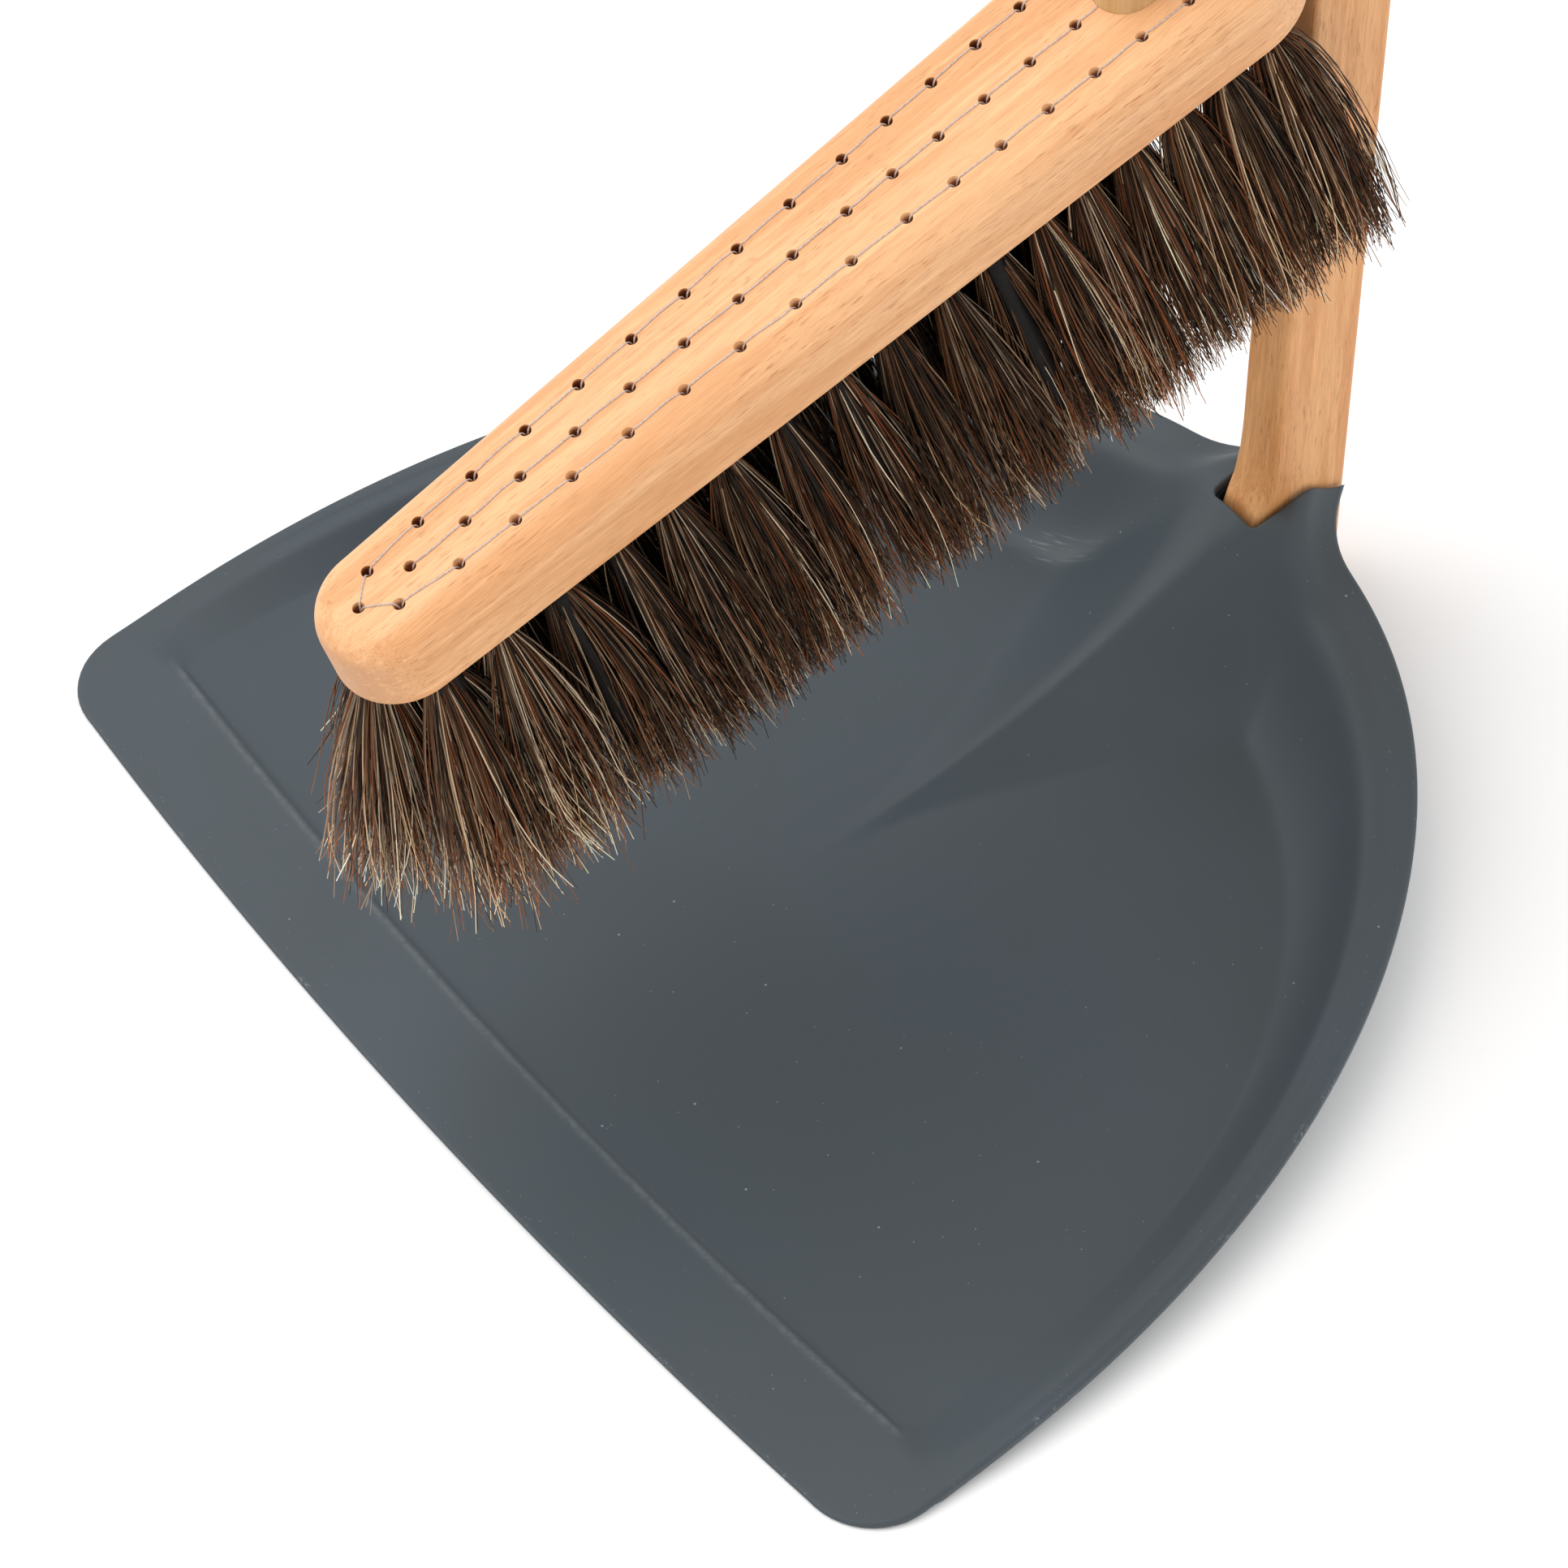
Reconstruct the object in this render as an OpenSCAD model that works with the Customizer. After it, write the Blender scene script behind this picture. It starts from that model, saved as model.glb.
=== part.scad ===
// Long-handled dust pan with a hanging horsehair brush.
// Millimetres. +Z is up, +X is to the right and -Y is towards the pan's front edge.
// The origin lies on the floor, on the plane of symmetry, under the middle of the pan's flat base.

/* [Pan] */
// Width of the pan at its widest
pan_w = 298; // [292:1:304]
// Depth of the pan from its front edge to its rear rim
pan_d = 246; // [243:1:249]
// Height of the rim at the back
rim_h = 29; // [27:1:31]
// Height that the ridge reaches in front of the handle
ridge_h = 34; // [32:1:35]
// Thickness of the moulded shell
shell_t = 2.4; // [2.2:0.1:2.6]
// Width of the flat lip along the front edge
lip_w = 25; // [23:1:27]
// How far the front edge's ends lie behind its middle
front_sag = 6; // [4:1:7]

/* [Pan handle] */
// Thickness of the bar, across the pan
bar_w = 12.4; // [12:0.1:13]
// Depth of the bar, front to back
bar_deep = 22.9; // [22:0.1:24]
// Height of the top of the bar
bar_h = 820; // [760:10:880]
// Diameter of the hole for hanging the set on a hook
hang_hole_d = 9; // [7:0.5:10]
// Length of the foot that runs forward under the ridge
foot_l = 40; // [38:1:42]

/* [Hanger] */
// Width of the forked hanger
fork_w = 34; // [32:1:38]
// Thickness of the forked hanger
fork_t = 14; // [13:1:18]
// Drop from the top of the bar to the top of the hanger
fork_drop = 56; // [50:1:80]
// Diameter of the ball that the brush hangs by
ball_d = 28; // [27:0.5:30]

/* [Brush] */
// Diameter of the round stick
stick_d = 15; // [14:0.5:15.5]
// Gap from the middle of the stick to the front face of the bar
stick_gap = 47; // [46:1:50]
// Length of the brush block
block_l = 248; // [244:1:250]
// Thickness of the brush block
block_t = 20; // [19:0.5:22]
// Radius of the rounded upper edge of the block
block_round = 7; // [5:0.5:7]
// Tilt of the block, its back end up
block_tilt = 15.7; // [14:0.1:17]
// Free length of the horsehair below the block
hair_l = 60; // [50:1:64]
// Outward lean of the two outer rows of tufts
hair_lean = 12; // [10:1:13]

/* [Hidden] */
$fn = 48;
EPS = 0.01;
beech = "burlywood";
pale_beech = "wheat";
pan_grey = "slategray";
steel = "silver";
hair_brown = "dimgray";

// The origin's distance behind the front edge. Plan distances below count from the front edge.
base_middle = 100;

// Pan
half_w = pan_w / 2;
floor_top = shell_t;
corner_r = 17;
side_start = 35;
side_power = 2.1;
band_side = 17;
band_growth = 15;
ridge_start = 105;
ridge_power = 2.4;
ridge_end = 232;
crest_r = 1.5;
notch_w = bar_w + 2.2;
notch_front = ridge_end - 1.4;
socket_t = 2;
socket_front = 198;
socket_back = 246;
shell_sink = 1;
ear_reach = 26;
ear_w = 28;
edge_z = 1.2;
lip_z = 3.8;

// Pan handle
bar_front = pan_d - 9.4;
bar_back = bar_front + bar_deep;
foot_z = 7.5;
hang_drop = 14;
screw_r = 1.9;
screw_head_r = 3.8;
screw_ys = [bar_front - 32, bar_front - 15];

// Hanger
fork_top = bar_h - fork_drop;
slot_r = stick_d / 2 + 0.6;
ball_r = ball_d / 2;
dish_r = ball_r + 0.3;
dish_mouth_r = 11;
stick_y = bar_front - stick_gap;
ball_z = fork_top + sqrt(dish_r * dish_r - dish_mouth_r * dish_mouth_r);
dowel_r = 2.5;
prong_reach = 13.5;

// Brush. Its own frame has the block's front tip at 0, its top at z = 0 and its length along +y.
stick_at = 210;
block_z = 223;
nose_r = 14.5;
tail_r = 22;
wire_r = 0.35;
hole_r = 1.25;
root_r = 2.5;
root_depth = 7.5;
tip_r = 5.4;
fit_gap = 0.05;
front_pitch = 14.1;
rear_pitch = 12.1;
outer_first = 16;
centre_first = 22.8;
front_lean = 8;
front_hole_y = 9.7;
stick_sunk = 14;

function clamp01(v) = min(1, max(0, v));
function smooth(v) = let(c = clamp01(v)) c * c * (3 - 2 * c);
function mix(a, b, t) = a + (b - a) * t;
function tuft_name(row, i) = str("tuft_", row, "_", i < 10 ? "0" : "", i);

// ---- The pan's surface ----

// The back end of the side flares rearwards into an ear on each side of the handle.
function flare(x) = ear_reach * pow(clamp01(1 - x / ear_w), 2.5);
function side_y(x) =
    side_start + (pan_d - side_start) * pow(1 - pow(clamp01(x / half_w), side_power), 1 / side_power) + flare(x);

// Right half of the outline, from the middle of the front edge round to the back.
corner_x = half_w - corner_r;
corner_y = front_sag + corner_r;
half_outline = concat(
    [for (k = [0:6]) let(x = corner_x * k / 6) [x, front_sag * pow(x / corner_x, 2)]],
    [for (a = [-68, -45, -22, 0]) [corner_x + corner_r * cos(a), corner_y + corner_r * sin(a)]],
    [for (a = [4, 12, 20, 28, 36, 44, 52, 60, 67, 73, 78])
        let(x = half_w * pow(cos(a), 2 / side_power)) [x, side_y(x)]],
    [for (x = [22, 15, 10, 7, 3]) [x, side_y(x)]]);
half_n = len(half_outline);
outline = concat(
    half_outline,
    [[0, side_y(0)]],
    [for (k = [half_n - 1:-1:1]) [-half_outline[k][0], half_outline[k][1]]]);
outline_n = len(outline);
hub = [0, ridge_start - 1];

function rim_z(y) = edge_z + 0.4 + (rim_h - edge_z) * clamp01((y - 12) / (pan_d - 12)) + max(0, y - pan_d) * 0.06;
function band(y) = y < 60 ? band_side : band_side + band_growth * pow((y - 60) / 170, 2);

// Height above the floor of the ridge that covers the handle's foot. Its crest is round and turns flat at the notch.
function ease(q, r) = q < -r ? 0 : q > r ? q : pow(q + r, 2) / (4 * r);
function ridge(x, y) =
    let(run = clamp01((y - ridge_start) / (ridge_end - ridge_start)),
        wide = notch_w / 2 + 1,
        reach = 3 + max(0, 0.29 * (y - 135)) + wide * run * run,
        off = sqrt(x * x + crest_r * crest_r) - crest_r - wide * pow(run, 7),
        fall = clamp01(1 - (run > 0.5 ? ease(off, crest_r + 5 * pow(run, 4)) : max(0, off)) / reach))
    ridge_h * pow(run, ridge_power) * pow(fall, 1.3);

// The wall's share of the rim height: a flange at the rim, then a slope that runs out into the floor.
function wall_share(f, y) = f < 0.4 ? 1 - 0.15 * f / 0.4
    : let(rear = smooth((y - 110) / 80))
      0.85 * pow(clamp01(1 - (f - 0.4) / mix(0.55, 0.6, rear)), mix(1.1, 1.7, rear));

// The lip rises from the front edge to its crease, where it drops to the floor.
function lip_height(f) = f < 0.985 ? mix(edge_z, lip_z, f / 0.97) : floor_top;

function blend_up(a, b) = pow(pow(a, 4) + pow(b, 4), 0.25);
function top_height(p, base, f) =
    let(lift = ridge(p[0], p[1]) * mix(0.64, 1, smooth(f / 0.3)))
    lift < EPS ? base : floor_top + blend_up(max(0, base - floor_top), lift);

// Each ray runs from the outline to the hub. Its rings are steps across the lip or the rim's band, then across the floor.
band_steps = [0, 0.12, 0.4, 0.55, 0.7, 0.85, 0.97, 1.06];
floor_steps = [0.25, 0.5, 0.75];
function in_corner(o) = o[1] < side_start + 5;
function without_ear(o) = o[1] > ridge_start ? [o[0], o[1] - flare(abs(o[0]))] : o;
function edge_dir(j) = in_corner(outline[j]) ? [0, 1]
    : let(e = without_ear(outline[(j + 1) % outline_n]) - without_ear(outline[(j + outline_n - 1) % outline_n])) e / norm(e);
function depth_to(j) = let(e = edge_dir(j), o = outline[j] - hub) abs(o[0] * e[1] - o[1] * e[0]);

// Share of a ray at which it crosses the lip's crease, and at which it reaches the crease or the foot of the wall.
function crease_share(o) =
    let(sag = front_sag * pow(o[0] / corner_x, 2), b = hub[1] - o[1], c = hub[1] - lip_w)
    1 - 2 * c / (b + sqrt(b * b + 4 * sag * c));
function foot_share(j) = let(o = outline[j])
    in_corner(o) ? max(crease_share(o), 1 - (half_w - band_side) / max(1, abs(o[0]))) : band(o[1]) / depth_to(j);

// Height of the lip or the wall at a point on ray j, where f is its share of the way to the crease or the foot.
function base_height(p, j, f) =
    let(o = outline[j], e = edge_dir(j),
        from_front = (p[1] - front_sag * pow(p[0] / corner_x, 2)) / lip_w,
        from_side = in_corner(o) ? (half_w - abs(p[0])) / band_side : f,
        rim_y = o[1] + e[1] * ((p - o) * e),
        rise = max(0, rim_z(rim_y) - floor_top) * wall_share(from_side, rim_y))
    max(lip_height(from_front), mix(edge_z, floor_top, smooth(from_front / 0.8)) + rise);

function ray_point(j, s) = outline[j] + (hub - outline[j]) * s;
function ring_points(f) = [for (j = [0:outline_n - 1])
    let(p = ray_point(j, f * foot_share(j))) [p[0], p[1], top_height(p, base_height(p, j, f), f)]];
function floor_points(g) = [for (j = [0:outline_n - 1])
    let(p = ray_point(j, mix(1.06 * foot_share(j), 1, g))) [p[0], p[1], top_height(p, floor_top, 1)]];

top_rings = concat([for (f = band_steps) ring_points(f)], [for (g = floor_steps) floor_points(g)]);
ring_n = len(top_rings);
steep_t = shell_t + 0.9;
function under(p) = let(z = p[2] - (p[2] > floor_top + 1 ? steep_t : shell_t)) [p[0], p[1], z < 0.05 ? 0 : z];

tops = concat([for (r = top_rings) each r], [[hub[0], hub[1], floor_top]]);

// A closed solid between two nets of points that lie over each other ring by ring.
module between(tops, unders) {
    count = len(tops);
    hub_i = count - 1;
    function at(k, j) = k * outline_n + j % outline_n;
    top_faces = [for (k = [0:ring_n - 2], j = [0:outline_n - 1])
        each [[at(k, j), at(k + 1, j), at(k, j + 1)], [at(k, j + 1), at(k + 1, j), at(k + 1, j + 1)]]];
    hub_faces = [for (j = [0:outline_n - 1]) [at(ring_n - 1, j), hub_i, at(ring_n - 1, j + 1)]];
    upper = concat(top_faces, hub_faces);
    lower = [for (f = upper) [f[2] + count, f[1] + count, f[0] + count]];
    edge = [for (j = [0:outline_n - 1])
        each [[at(0, j), at(0, j + 1), at(0, j) + count], [at(0, j + 1), at(0, j + 1) + count, at(0, j) + count]]];
    polyhedron(points = concat(tops, unders), faces = concat(upper, lower, edge));
}

module shell() {
    between(tops, [for (p = tops) under(p)]);
}

// Keeps what lies below the shell's surface, so that a wall or boss under it ends inside the shell.
module up_to_shell() {
    intersection() {
        between([for (p = tops) [p[0], p[1], max(0.4, p[2] - shell_sink)]], [for (p = tops) [p[0], p[1], 0]]);
        union() children();
    }
}

// ---- The pan and its handle, in plan distances from the front edge ----

module from_front_edge() {
    translate([0, -base_middle, 0]) children();
}

module dust_pan() {
    boss_r = 4.2;
    pilot_top = 14.5;
    clear = 60;
    color(pan_grey) from_front_edge() difference() {
        union() {
            shell();
            up_to_shell() {
                for (x = [-notch_w / 2 - socket_t, notch_w / 2]) translate([x, socket_front, -1])
                    cube([socket_t, socket_back - socket_front, clear]);
                for (y = screw_ys) translate([0, y, foot_z + 0.2]) cylinder(r = boss_r, h = ridge_h);
            }
        }
        translate([-notch_w / 2, notch_front, -1]) cube([notch_w, clear, clear]);
        for (y = screw_ys) translate([0, y, 0]) cylinder(r = screw_r + fit_gap, h = pilot_top);
    }
}

module bar_profile() {
    heel = [[bar_front, 50], [bar_front - 1.2, 41], [bar_front - 4.2, 33], [bar_front - 5.3, 28],
            [bar_front - 6.4, 20], [bar_front - 6.9, 13], [bar_front - 7.6, foot_z]];
    toe = [[bar_front - foot_l, foot_z], [bar_front - foot_l - 2, foot_z - 1.5], [bar_front - foot_l - 2, 0]];
    top_r = bar_deep / 2;
    polygon(concat([[bar_back, 0], [bar_back, bar_h - top_r], [bar_front, bar_h - top_r]], heel, toe));
    translate([bar_front + top_r, bar_h - top_r]) circle(r = top_r);
}

// A solid lying across the pan, drawn in the plane of symmetry with x as plan distance and y as height.
module across(width) {
    rotate([90, 0, 90]) linear_extrude(height = width, center = true) children();
}

module pan_handle() {
    color(beech) from_front_edge() difference() {
        across(bar_w) bar_profile();
        translate([0, bar_front + bar_deep / 2, bar_h - hang_drop]) rotate([0, 90, 0])
            cylinder(r = hang_hole_d / 2, h = bar_w + 2, center = true);
        translate([0, bar_front + bar_deep / 2, fork_top - fork_t / 2]) rotate([0, 90, 0])
            cylinder(r = dowel_r + fit_gap, h = bar_w + 2, center = true);
        for (y = screw_ys) translate([0, y, -1]) {
            cylinder(r = screw_r + 0.2, h = foot_z + 2);
            cylinder(r1 = screw_head_r + 1.2, r2 = screw_r + 0.2, h = 4);
        }
    }
}

module handle_screws() {
    screw_l = 13;
    head_h = 2.4;
    color(steel) from_front_edge() for (y = screw_ys) translate([0, y, 0.4]) {
        cylinder(r1 = screw_head_r, r2 = screw_r - 0.05, h = head_h);
        cylinder(r = screw_r - 0.05, h = screw_l);
    }
}

module hanger_fork() {
    back = bar_back + 7;
    length = back - (stick_y - prong_reach);
    prong_r = (fork_w - 2 * slot_r) / 4;
    back_r = 8;
    color(beech) from_front_edge() difference() {
        translate([0, 0, fork_top - fork_t]) linear_extrude(height = fork_t) difference() {
            union() {
                translate([-fork_w / 2, stick_y - prong_reach + prong_r])
                    square([fork_w, length - prong_r - back_r]);
                for (s = [-1, 1]) {
                    translate([s * (fork_w / 2 - prong_r), stick_y - prong_reach + prong_r]) circle(r = prong_r);
                    translate([s * (fork_w / 2 - back_r), back - back_r]) circle(r = back_r);
                }
                translate([-fork_w / 2 + back_r, back - 2 * back_r])
                    square([fork_w - 2 * back_r, 2 * back_r]);
            }
            translate([0, stick_y]) circle(r = slot_r);
            translate([-slot_r, stick_y - 40]) square([2 * slot_r, 40]);
            translate([-bar_w / 2 - fit_gap, bar_front - fit_gap])
                square([bar_w + 2 * fit_gap, bar_deep + 2 * fit_gap]);
        }
        translate([0, stick_y, ball_z]) sphere(r = dish_r);
        translate([0, bar_front + bar_deep / 2, fork_top - fork_t / 2]) rotate([0, 90, 0])
            cylinder(r = dowel_r + fit_gap, h = fork_w + 2, center = true);
    }
}

module hanger_dowel() {
    color(pale_beech) from_front_edge() translate([0, bar_front + bar_deep / 2, fork_top - fork_t / 2])
        rotate([0, 90, 0]) cylinder(r = dowel_r, h = fork_w, center = true);
}

// ---- The brush ----

module in_brush_frame() {
    from_front_edge() translate([0, stick_y, block_z]) rotate([block_tilt, 0, 0])
        translate([0, -stick_at, 0]) children();
}

// Along the block, a row of holes is wide apart at the front and closer towards the back.
function station(first, wide, i) = first + front_pitch * min(i, wide) + rear_pitch * max(i - wide, 0);
function outer_y(i) = station(outer_first, 9, i);
function outer_x(i) = i == 0 ? 5.4 : 6 + 0.031 * outer_y(i);
function centre_y(i) = station(centre_first, 8, i);

// Moves to a hole's mouth on top of the block, with -z down the hole. A side of -1 is left.
module at_outer(side, i) {
    translate([side * outer_x(i), outer_y(i), 0]) rotate([0, -side * hair_lean, 0]) children();
}
module at_centre(i) {
    translate([0, centre_y(i), 0]) children();
}
module at_front() {
    translate([0, front_hole_y, 0]) rotate([-front_lean, 0, 0]) children();
}
module at_every_hole() {
    at_front() children();
    for (i = [0:16], side = [-1, 1]) at_outer(side, i) children();
    for (i = [0:13]) at_centre(i) children();
}

module drilling() {
    translate([0, 0, -root_depth]) cylinder(r = hole_r, h = root_depth + 3);
    translate([0, 0, -block_t - 6]) cylinder(r = root_r + fit_gap, h = block_t + 6 - root_depth + 0.3);
}

module rounded_disc(r) {
    low_r = 1.5;
    arc = [for (a = [0:18:90]) [r - block_round + block_round * cos(a), -block_round + block_round * sin(a)]];
    foot = [[r - low_r, -block_t], [r, -block_t + low_r]];
    rotate_extrude($fn = 32) polygon(concat([[0, -block_t]], foot, arc, [[0, 0]]));
}

module brush_block() {
    color(beech) difference() {
        in_brush_frame() difference() {
            hull() {
                translate([0, nose_r, 0]) rounded_disc(nose_r);
                translate([0, block_l - tail_r, 0]) rounded_disc(tail_r);
            }
            at_every_hole() drilling();
        }
        from_front_edge() translate([0, stick_y, block_z - stick_sunk])
            cylinder(r = stick_d / 2 + fit_gap, h = 40);
    }
}

module broom_stick() {
    bottom = block_z - stick_sunk + 0.1;
    color(pale_beech) from_front_edge() translate([0, stick_y, bottom])
        cylinder(r = stick_d / 2, h = ball_z + 4 - bottom);
}

module hanging_ball() {
    color(beech) from_front_edge() translate([0, stick_y, ball_z]) difference() {
        sphere(r = ball_r);
        translate([0, 0, -ball_r - 1]) cylinder(r = stick_d / 2 + fit_gap, h = ball_r + 5.1);
    }
}

// A thin straight stretch of wire between two points on top of the block.
module wire_run(a, b) {
    d = b - a;
    translate([a[0], a[1], wire_r + fit_gap]) rotate([0, 90, atan2(d[1], d[0])])
        cylinder(r = wire_r, h = norm(d), $fn = 6);
}
module wire_drop() {
    translate([0, 0, -root_depth + 0.2]) cylinder(r = wire_r, h = root_depth + wire_r, $fn = 6);
}

module draw_wire_outer() {
    right = [for (i = [0:16]) [outer_x(i), outer_y(i)]];
    path = concat([for (i = [16:-1:0]) [-right[i][0], right[i][1]]], [[0, front_hole_y]], right);
    color(steel) in_brush_frame() {
        for (i = [0:len(path) - 2]) wire_run(path[i], path[i + 1]);
        at_front() wire_drop();
        for (i = [0:16], side = [-1, 1]) at_outer(side, i) wire_drop();
    }
}

module draw_wire_centre() {
    color(steel) in_brush_frame() {
        for (i = [0:12]) wire_run([0, centre_y(i)], [0, centre_y(i + 1)]);
        wire_run([0, centre_y(13)], [0, stick_at - stick_d / 2 - 1.4]);
        for (i = [0:13]) at_centre(i) wire_drop();
    }
}

// One bundle of hair: its root fills the hole and the rest spreads towards the tips.
module tuft() {
    root_bottom = -block_t - 0.6;
    color(hair_brown) {
        translate([0, 0, root_bottom]) cylinder(r = root_r, h = -root_depth - root_bottom);
        translate([0, 0, root_bottom - hair_l]) cylinder(r1 = tip_r, r2 = root_r, h = hair_l);
    }
}
module tuft_front() {
    in_brush_frame() at_front() tuft();
}
module tuft_left(i) {
    in_brush_frame() at_outer(-1, i - 1) tuft();
}
module tuft_right(i) {
    in_brush_frame() at_outer(1, i - 1) tuft();
}
module tuft_centre(i) {
    in_brush_frame() at_centre(i - 1) tuft();
}

dust_pan();
pan_handle();
handle_screws();
hanger_fork();
hanger_dowel();
brush_block();
broom_stick();
hanging_ball();
draw_wire_outer();
draw_wire_centre();
tuft_front();
for (i = [1:17]) tuft_left(i);
for (i = [1:17]) tuft_right(i);
for (i = [1:14]) tuft_centre(i);
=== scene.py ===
"""Looks for the standing dust pan and its hanging horsehair brush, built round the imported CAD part.

Shapes are worked out in millimetres in the part's own frame and become metres when a mesh is made.
"""

import math
from contextlib import contextmanager

import bmesh
import bpy
import numpy as np
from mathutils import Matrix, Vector


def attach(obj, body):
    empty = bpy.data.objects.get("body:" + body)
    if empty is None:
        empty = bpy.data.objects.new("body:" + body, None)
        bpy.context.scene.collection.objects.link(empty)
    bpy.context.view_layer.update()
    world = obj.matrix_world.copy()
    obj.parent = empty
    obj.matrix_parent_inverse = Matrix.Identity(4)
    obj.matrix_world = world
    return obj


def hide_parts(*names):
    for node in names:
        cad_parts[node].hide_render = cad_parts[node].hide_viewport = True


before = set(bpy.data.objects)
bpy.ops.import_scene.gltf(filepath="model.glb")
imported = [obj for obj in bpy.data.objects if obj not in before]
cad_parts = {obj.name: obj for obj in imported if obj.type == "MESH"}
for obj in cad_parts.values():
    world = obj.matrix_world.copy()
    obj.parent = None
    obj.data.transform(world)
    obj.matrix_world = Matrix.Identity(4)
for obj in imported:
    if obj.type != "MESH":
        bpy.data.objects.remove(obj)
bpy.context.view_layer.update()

MM = 0.001
PAN_BODY, BRUSH_BODY = "pan_and_handle", "brush"
rng = np.random.default_rng(7)

# ---- driving sizes, as in the CAD part

BASE_MIDDLE = 100  # plan distance from the pan's front edge to the origin

PAN_W, PAN_D = 298, 246
HALF_W = PAN_W / 2
RIM_H, RIDGE_H = 29, 34
SHELL_T, STEEP_T = 2.4, 3.3
LIP_W, FRONT_SAG, CORNER_R = 25, 6, 17
SIDE_START, SIDE_POWER = 35, 2.1
BAND_SIDE, BAND_GROWTH = 17, 15
RIDGE_START, RIDGE_POWER, RIDGE_END = 105, 2.4, 232
CREST_R = 1.5
EAR_REACH, EAR_W = 26, 28
EDGE_Z, LIP_Z = 1.2, 3.8

BAR_W, BAR_DEEP, BAR_H = 12.4, 22.9, 820
BAR_FRONT = PAN_D - 9.4
BAR_MIDDLE = BAR_FRONT + BAR_DEEP / 2
BAR_BACK = BAR_FRONT + BAR_DEEP
FOOT_L, FOOT_Z = 40, 7.5
NOTCH_HALF, NOTCH_R = BAR_W / 2 + 1.1, 2
SOCKET_T, SOCKET_FRONT, SOCKET_BACK = 2, 198, 246
NOTCH_FRONT = RIDGE_END - 1.4
SCREW_YS = (BAR_FRONT - 32, BAR_FRONT - 15)
HANG_R, HANG_DROP = 4.5, 14

FORK_W, FORK_T, FORK_DROP = 34, 14, 56
FORK_TOP = BAR_H - FORK_DROP
DOWEL_R, DOWEL_Z = 2.5, FORK_TOP - FORK_T / 2
STICK_D, STICK_GAP = 15, 47
STICK_Y = BAR_FRONT - STICK_GAP
STICK_BASE = (0, STICK_Y - BASE_MIDDLE)
BALL_R = 14
DISH_R, DISH_MOUTH_R = BALL_R + 0.3, 11
BALL_Z = FORK_TOP + math.sqrt(DISH_R**2 - DISH_MOUTH_R**2)

BLOCK_L, BLOCK_T, BLOCK_ROUND = 248, 20, 7
NOSE_R, TAIL_R = 14.5, 22
BLOCK_TILT, BLOCK_Z, STICK_AT = math.radians(15.7), 223, 210
STICK_SUNK = 14
SCUFF_TURN = 28
HAIR_L = 60
HAIR_LEAN, FRONT_LEAN = math.radians(12), math.radians(8)
HOLE_R, ROOT_R = 1.25, 2.5


# ---- small helpers

def clamp01(v):
    return np.clip(v, 0.0, 1.0)


def smooth(v):
    c = clamp01(v)
    return c * c * (3 - 2 * c)


def mix(a, b, t):
    return a + (b - a) * t


def unit(v):
    """v, or each of its rows, brought to length 1."""
    v = np.asarray(v, float)
    return v / np.linalg.norm(v, axis=-1, keepdims=True)


def round_turn(steps):
    """Evenly spaced angles all the way round."""
    return np.arange(steps) * 2 * math.pi / steps


def plan(points):
    """Points with plan distances from the pan's front edge, moved to the part's frame."""
    moved = np.array(points, float)
    moved[:, 1] -= BASE_MIDDLE
    return moved


def from_brush(points):
    """Points in the brush's own frame (front tip at y = 0, top of the block at z = 0) in the part's frame."""
    p = np.asarray(points, float)
    y, z = p[..., 1] - STICK_AT, p[..., 2]
    c, s = math.cos(BLOCK_TILT), math.sin(BLOCK_TILT)
    return np.stack([p[..., 0], STICK_BASE[1] + y * c - z * s, BLOCK_Z + y * s + z * c], axis=-1)


def new_object(name, points, faces):
    mesh = bpy.data.meshes.new(name)
    mesh.from_pydata((np.asarray(points, float) * MM).tolist(), [], [list(map(int, f)) for f in faces])
    mesh.update()
    obj = bpy.data.objects.new(name, mesh)
    bpy.context.scene.collection.objects.link(obj)
    return obj


def places(obj):
    """The places of obj's points, in millimetres."""
    co = np.empty(len(obj.data.vertices) * 3)
    obj.data.vertices.foreach_get("co", co)
    return co.reshape(-1, 3) / MM


def move_points(obj, points):
    obj.data.vertices.foreach_set("co", (points * MM).ravel())


def store(obj, name, values):
    """Keeps a number for each of obj's points, which its material reads."""
    made = obj.data.attributes.new(name, "FLOAT", "POINT")
    made.data.foreach_set("value", np.asarray(values, np.float32))


@contextmanager
def editing(obj):
    """A bmesh of obj's mesh, which is written back at the end."""
    bm = bmesh.new()
    bm.from_mesh(obj.data)
    yield bm
    bm.to_mesh(obj.data)
    bm.free()


def tidy_mesh(obj):
    """Joins doubled points and turns every face outwards."""
    with editing(obj) as bm:
        bmesh.ops.remove_doubles(bm, verts=bm.verts, dist=0.002 * MM)
        bmesh.ops.recalc_face_normals(bm, faces=bm.faces)


def bake_modifiers(obj):
    """Replaces obj's mesh with what its modifiers make of it."""
    graph = bpy.context.evaluated_depsgraph_get()
    made = bpy.data.meshes.new_from_object(obj.evaluated_get(graph), depsgraph=graph)
    obj.modifiers.clear()
    obj.data = made


def carve(obj, *cutters):
    """Cuts each closed cutter out of obj."""
    for cutter in cutters:
        cut = obj.modifiers.new("cut", "BOOLEAN")
        cut.operation, cut.solver, cut.object = "DIFFERENCE", "EXACT", cutter
    bake_modifiers(obj)
    for cutter in cutters:
        bpy.data.objects.remove(cutter)


def bevelled(obj, width, segments=4, angle=40):
    bevel = obj.modifiers.new("bevel", "BEVEL")
    bevel.width, bevel.segments = width * MM, segments
    bevel.limit_method, bevel.angle_limit = "ANGLE", math.radians(angle)
    bake_modifiers(obj)


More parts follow.
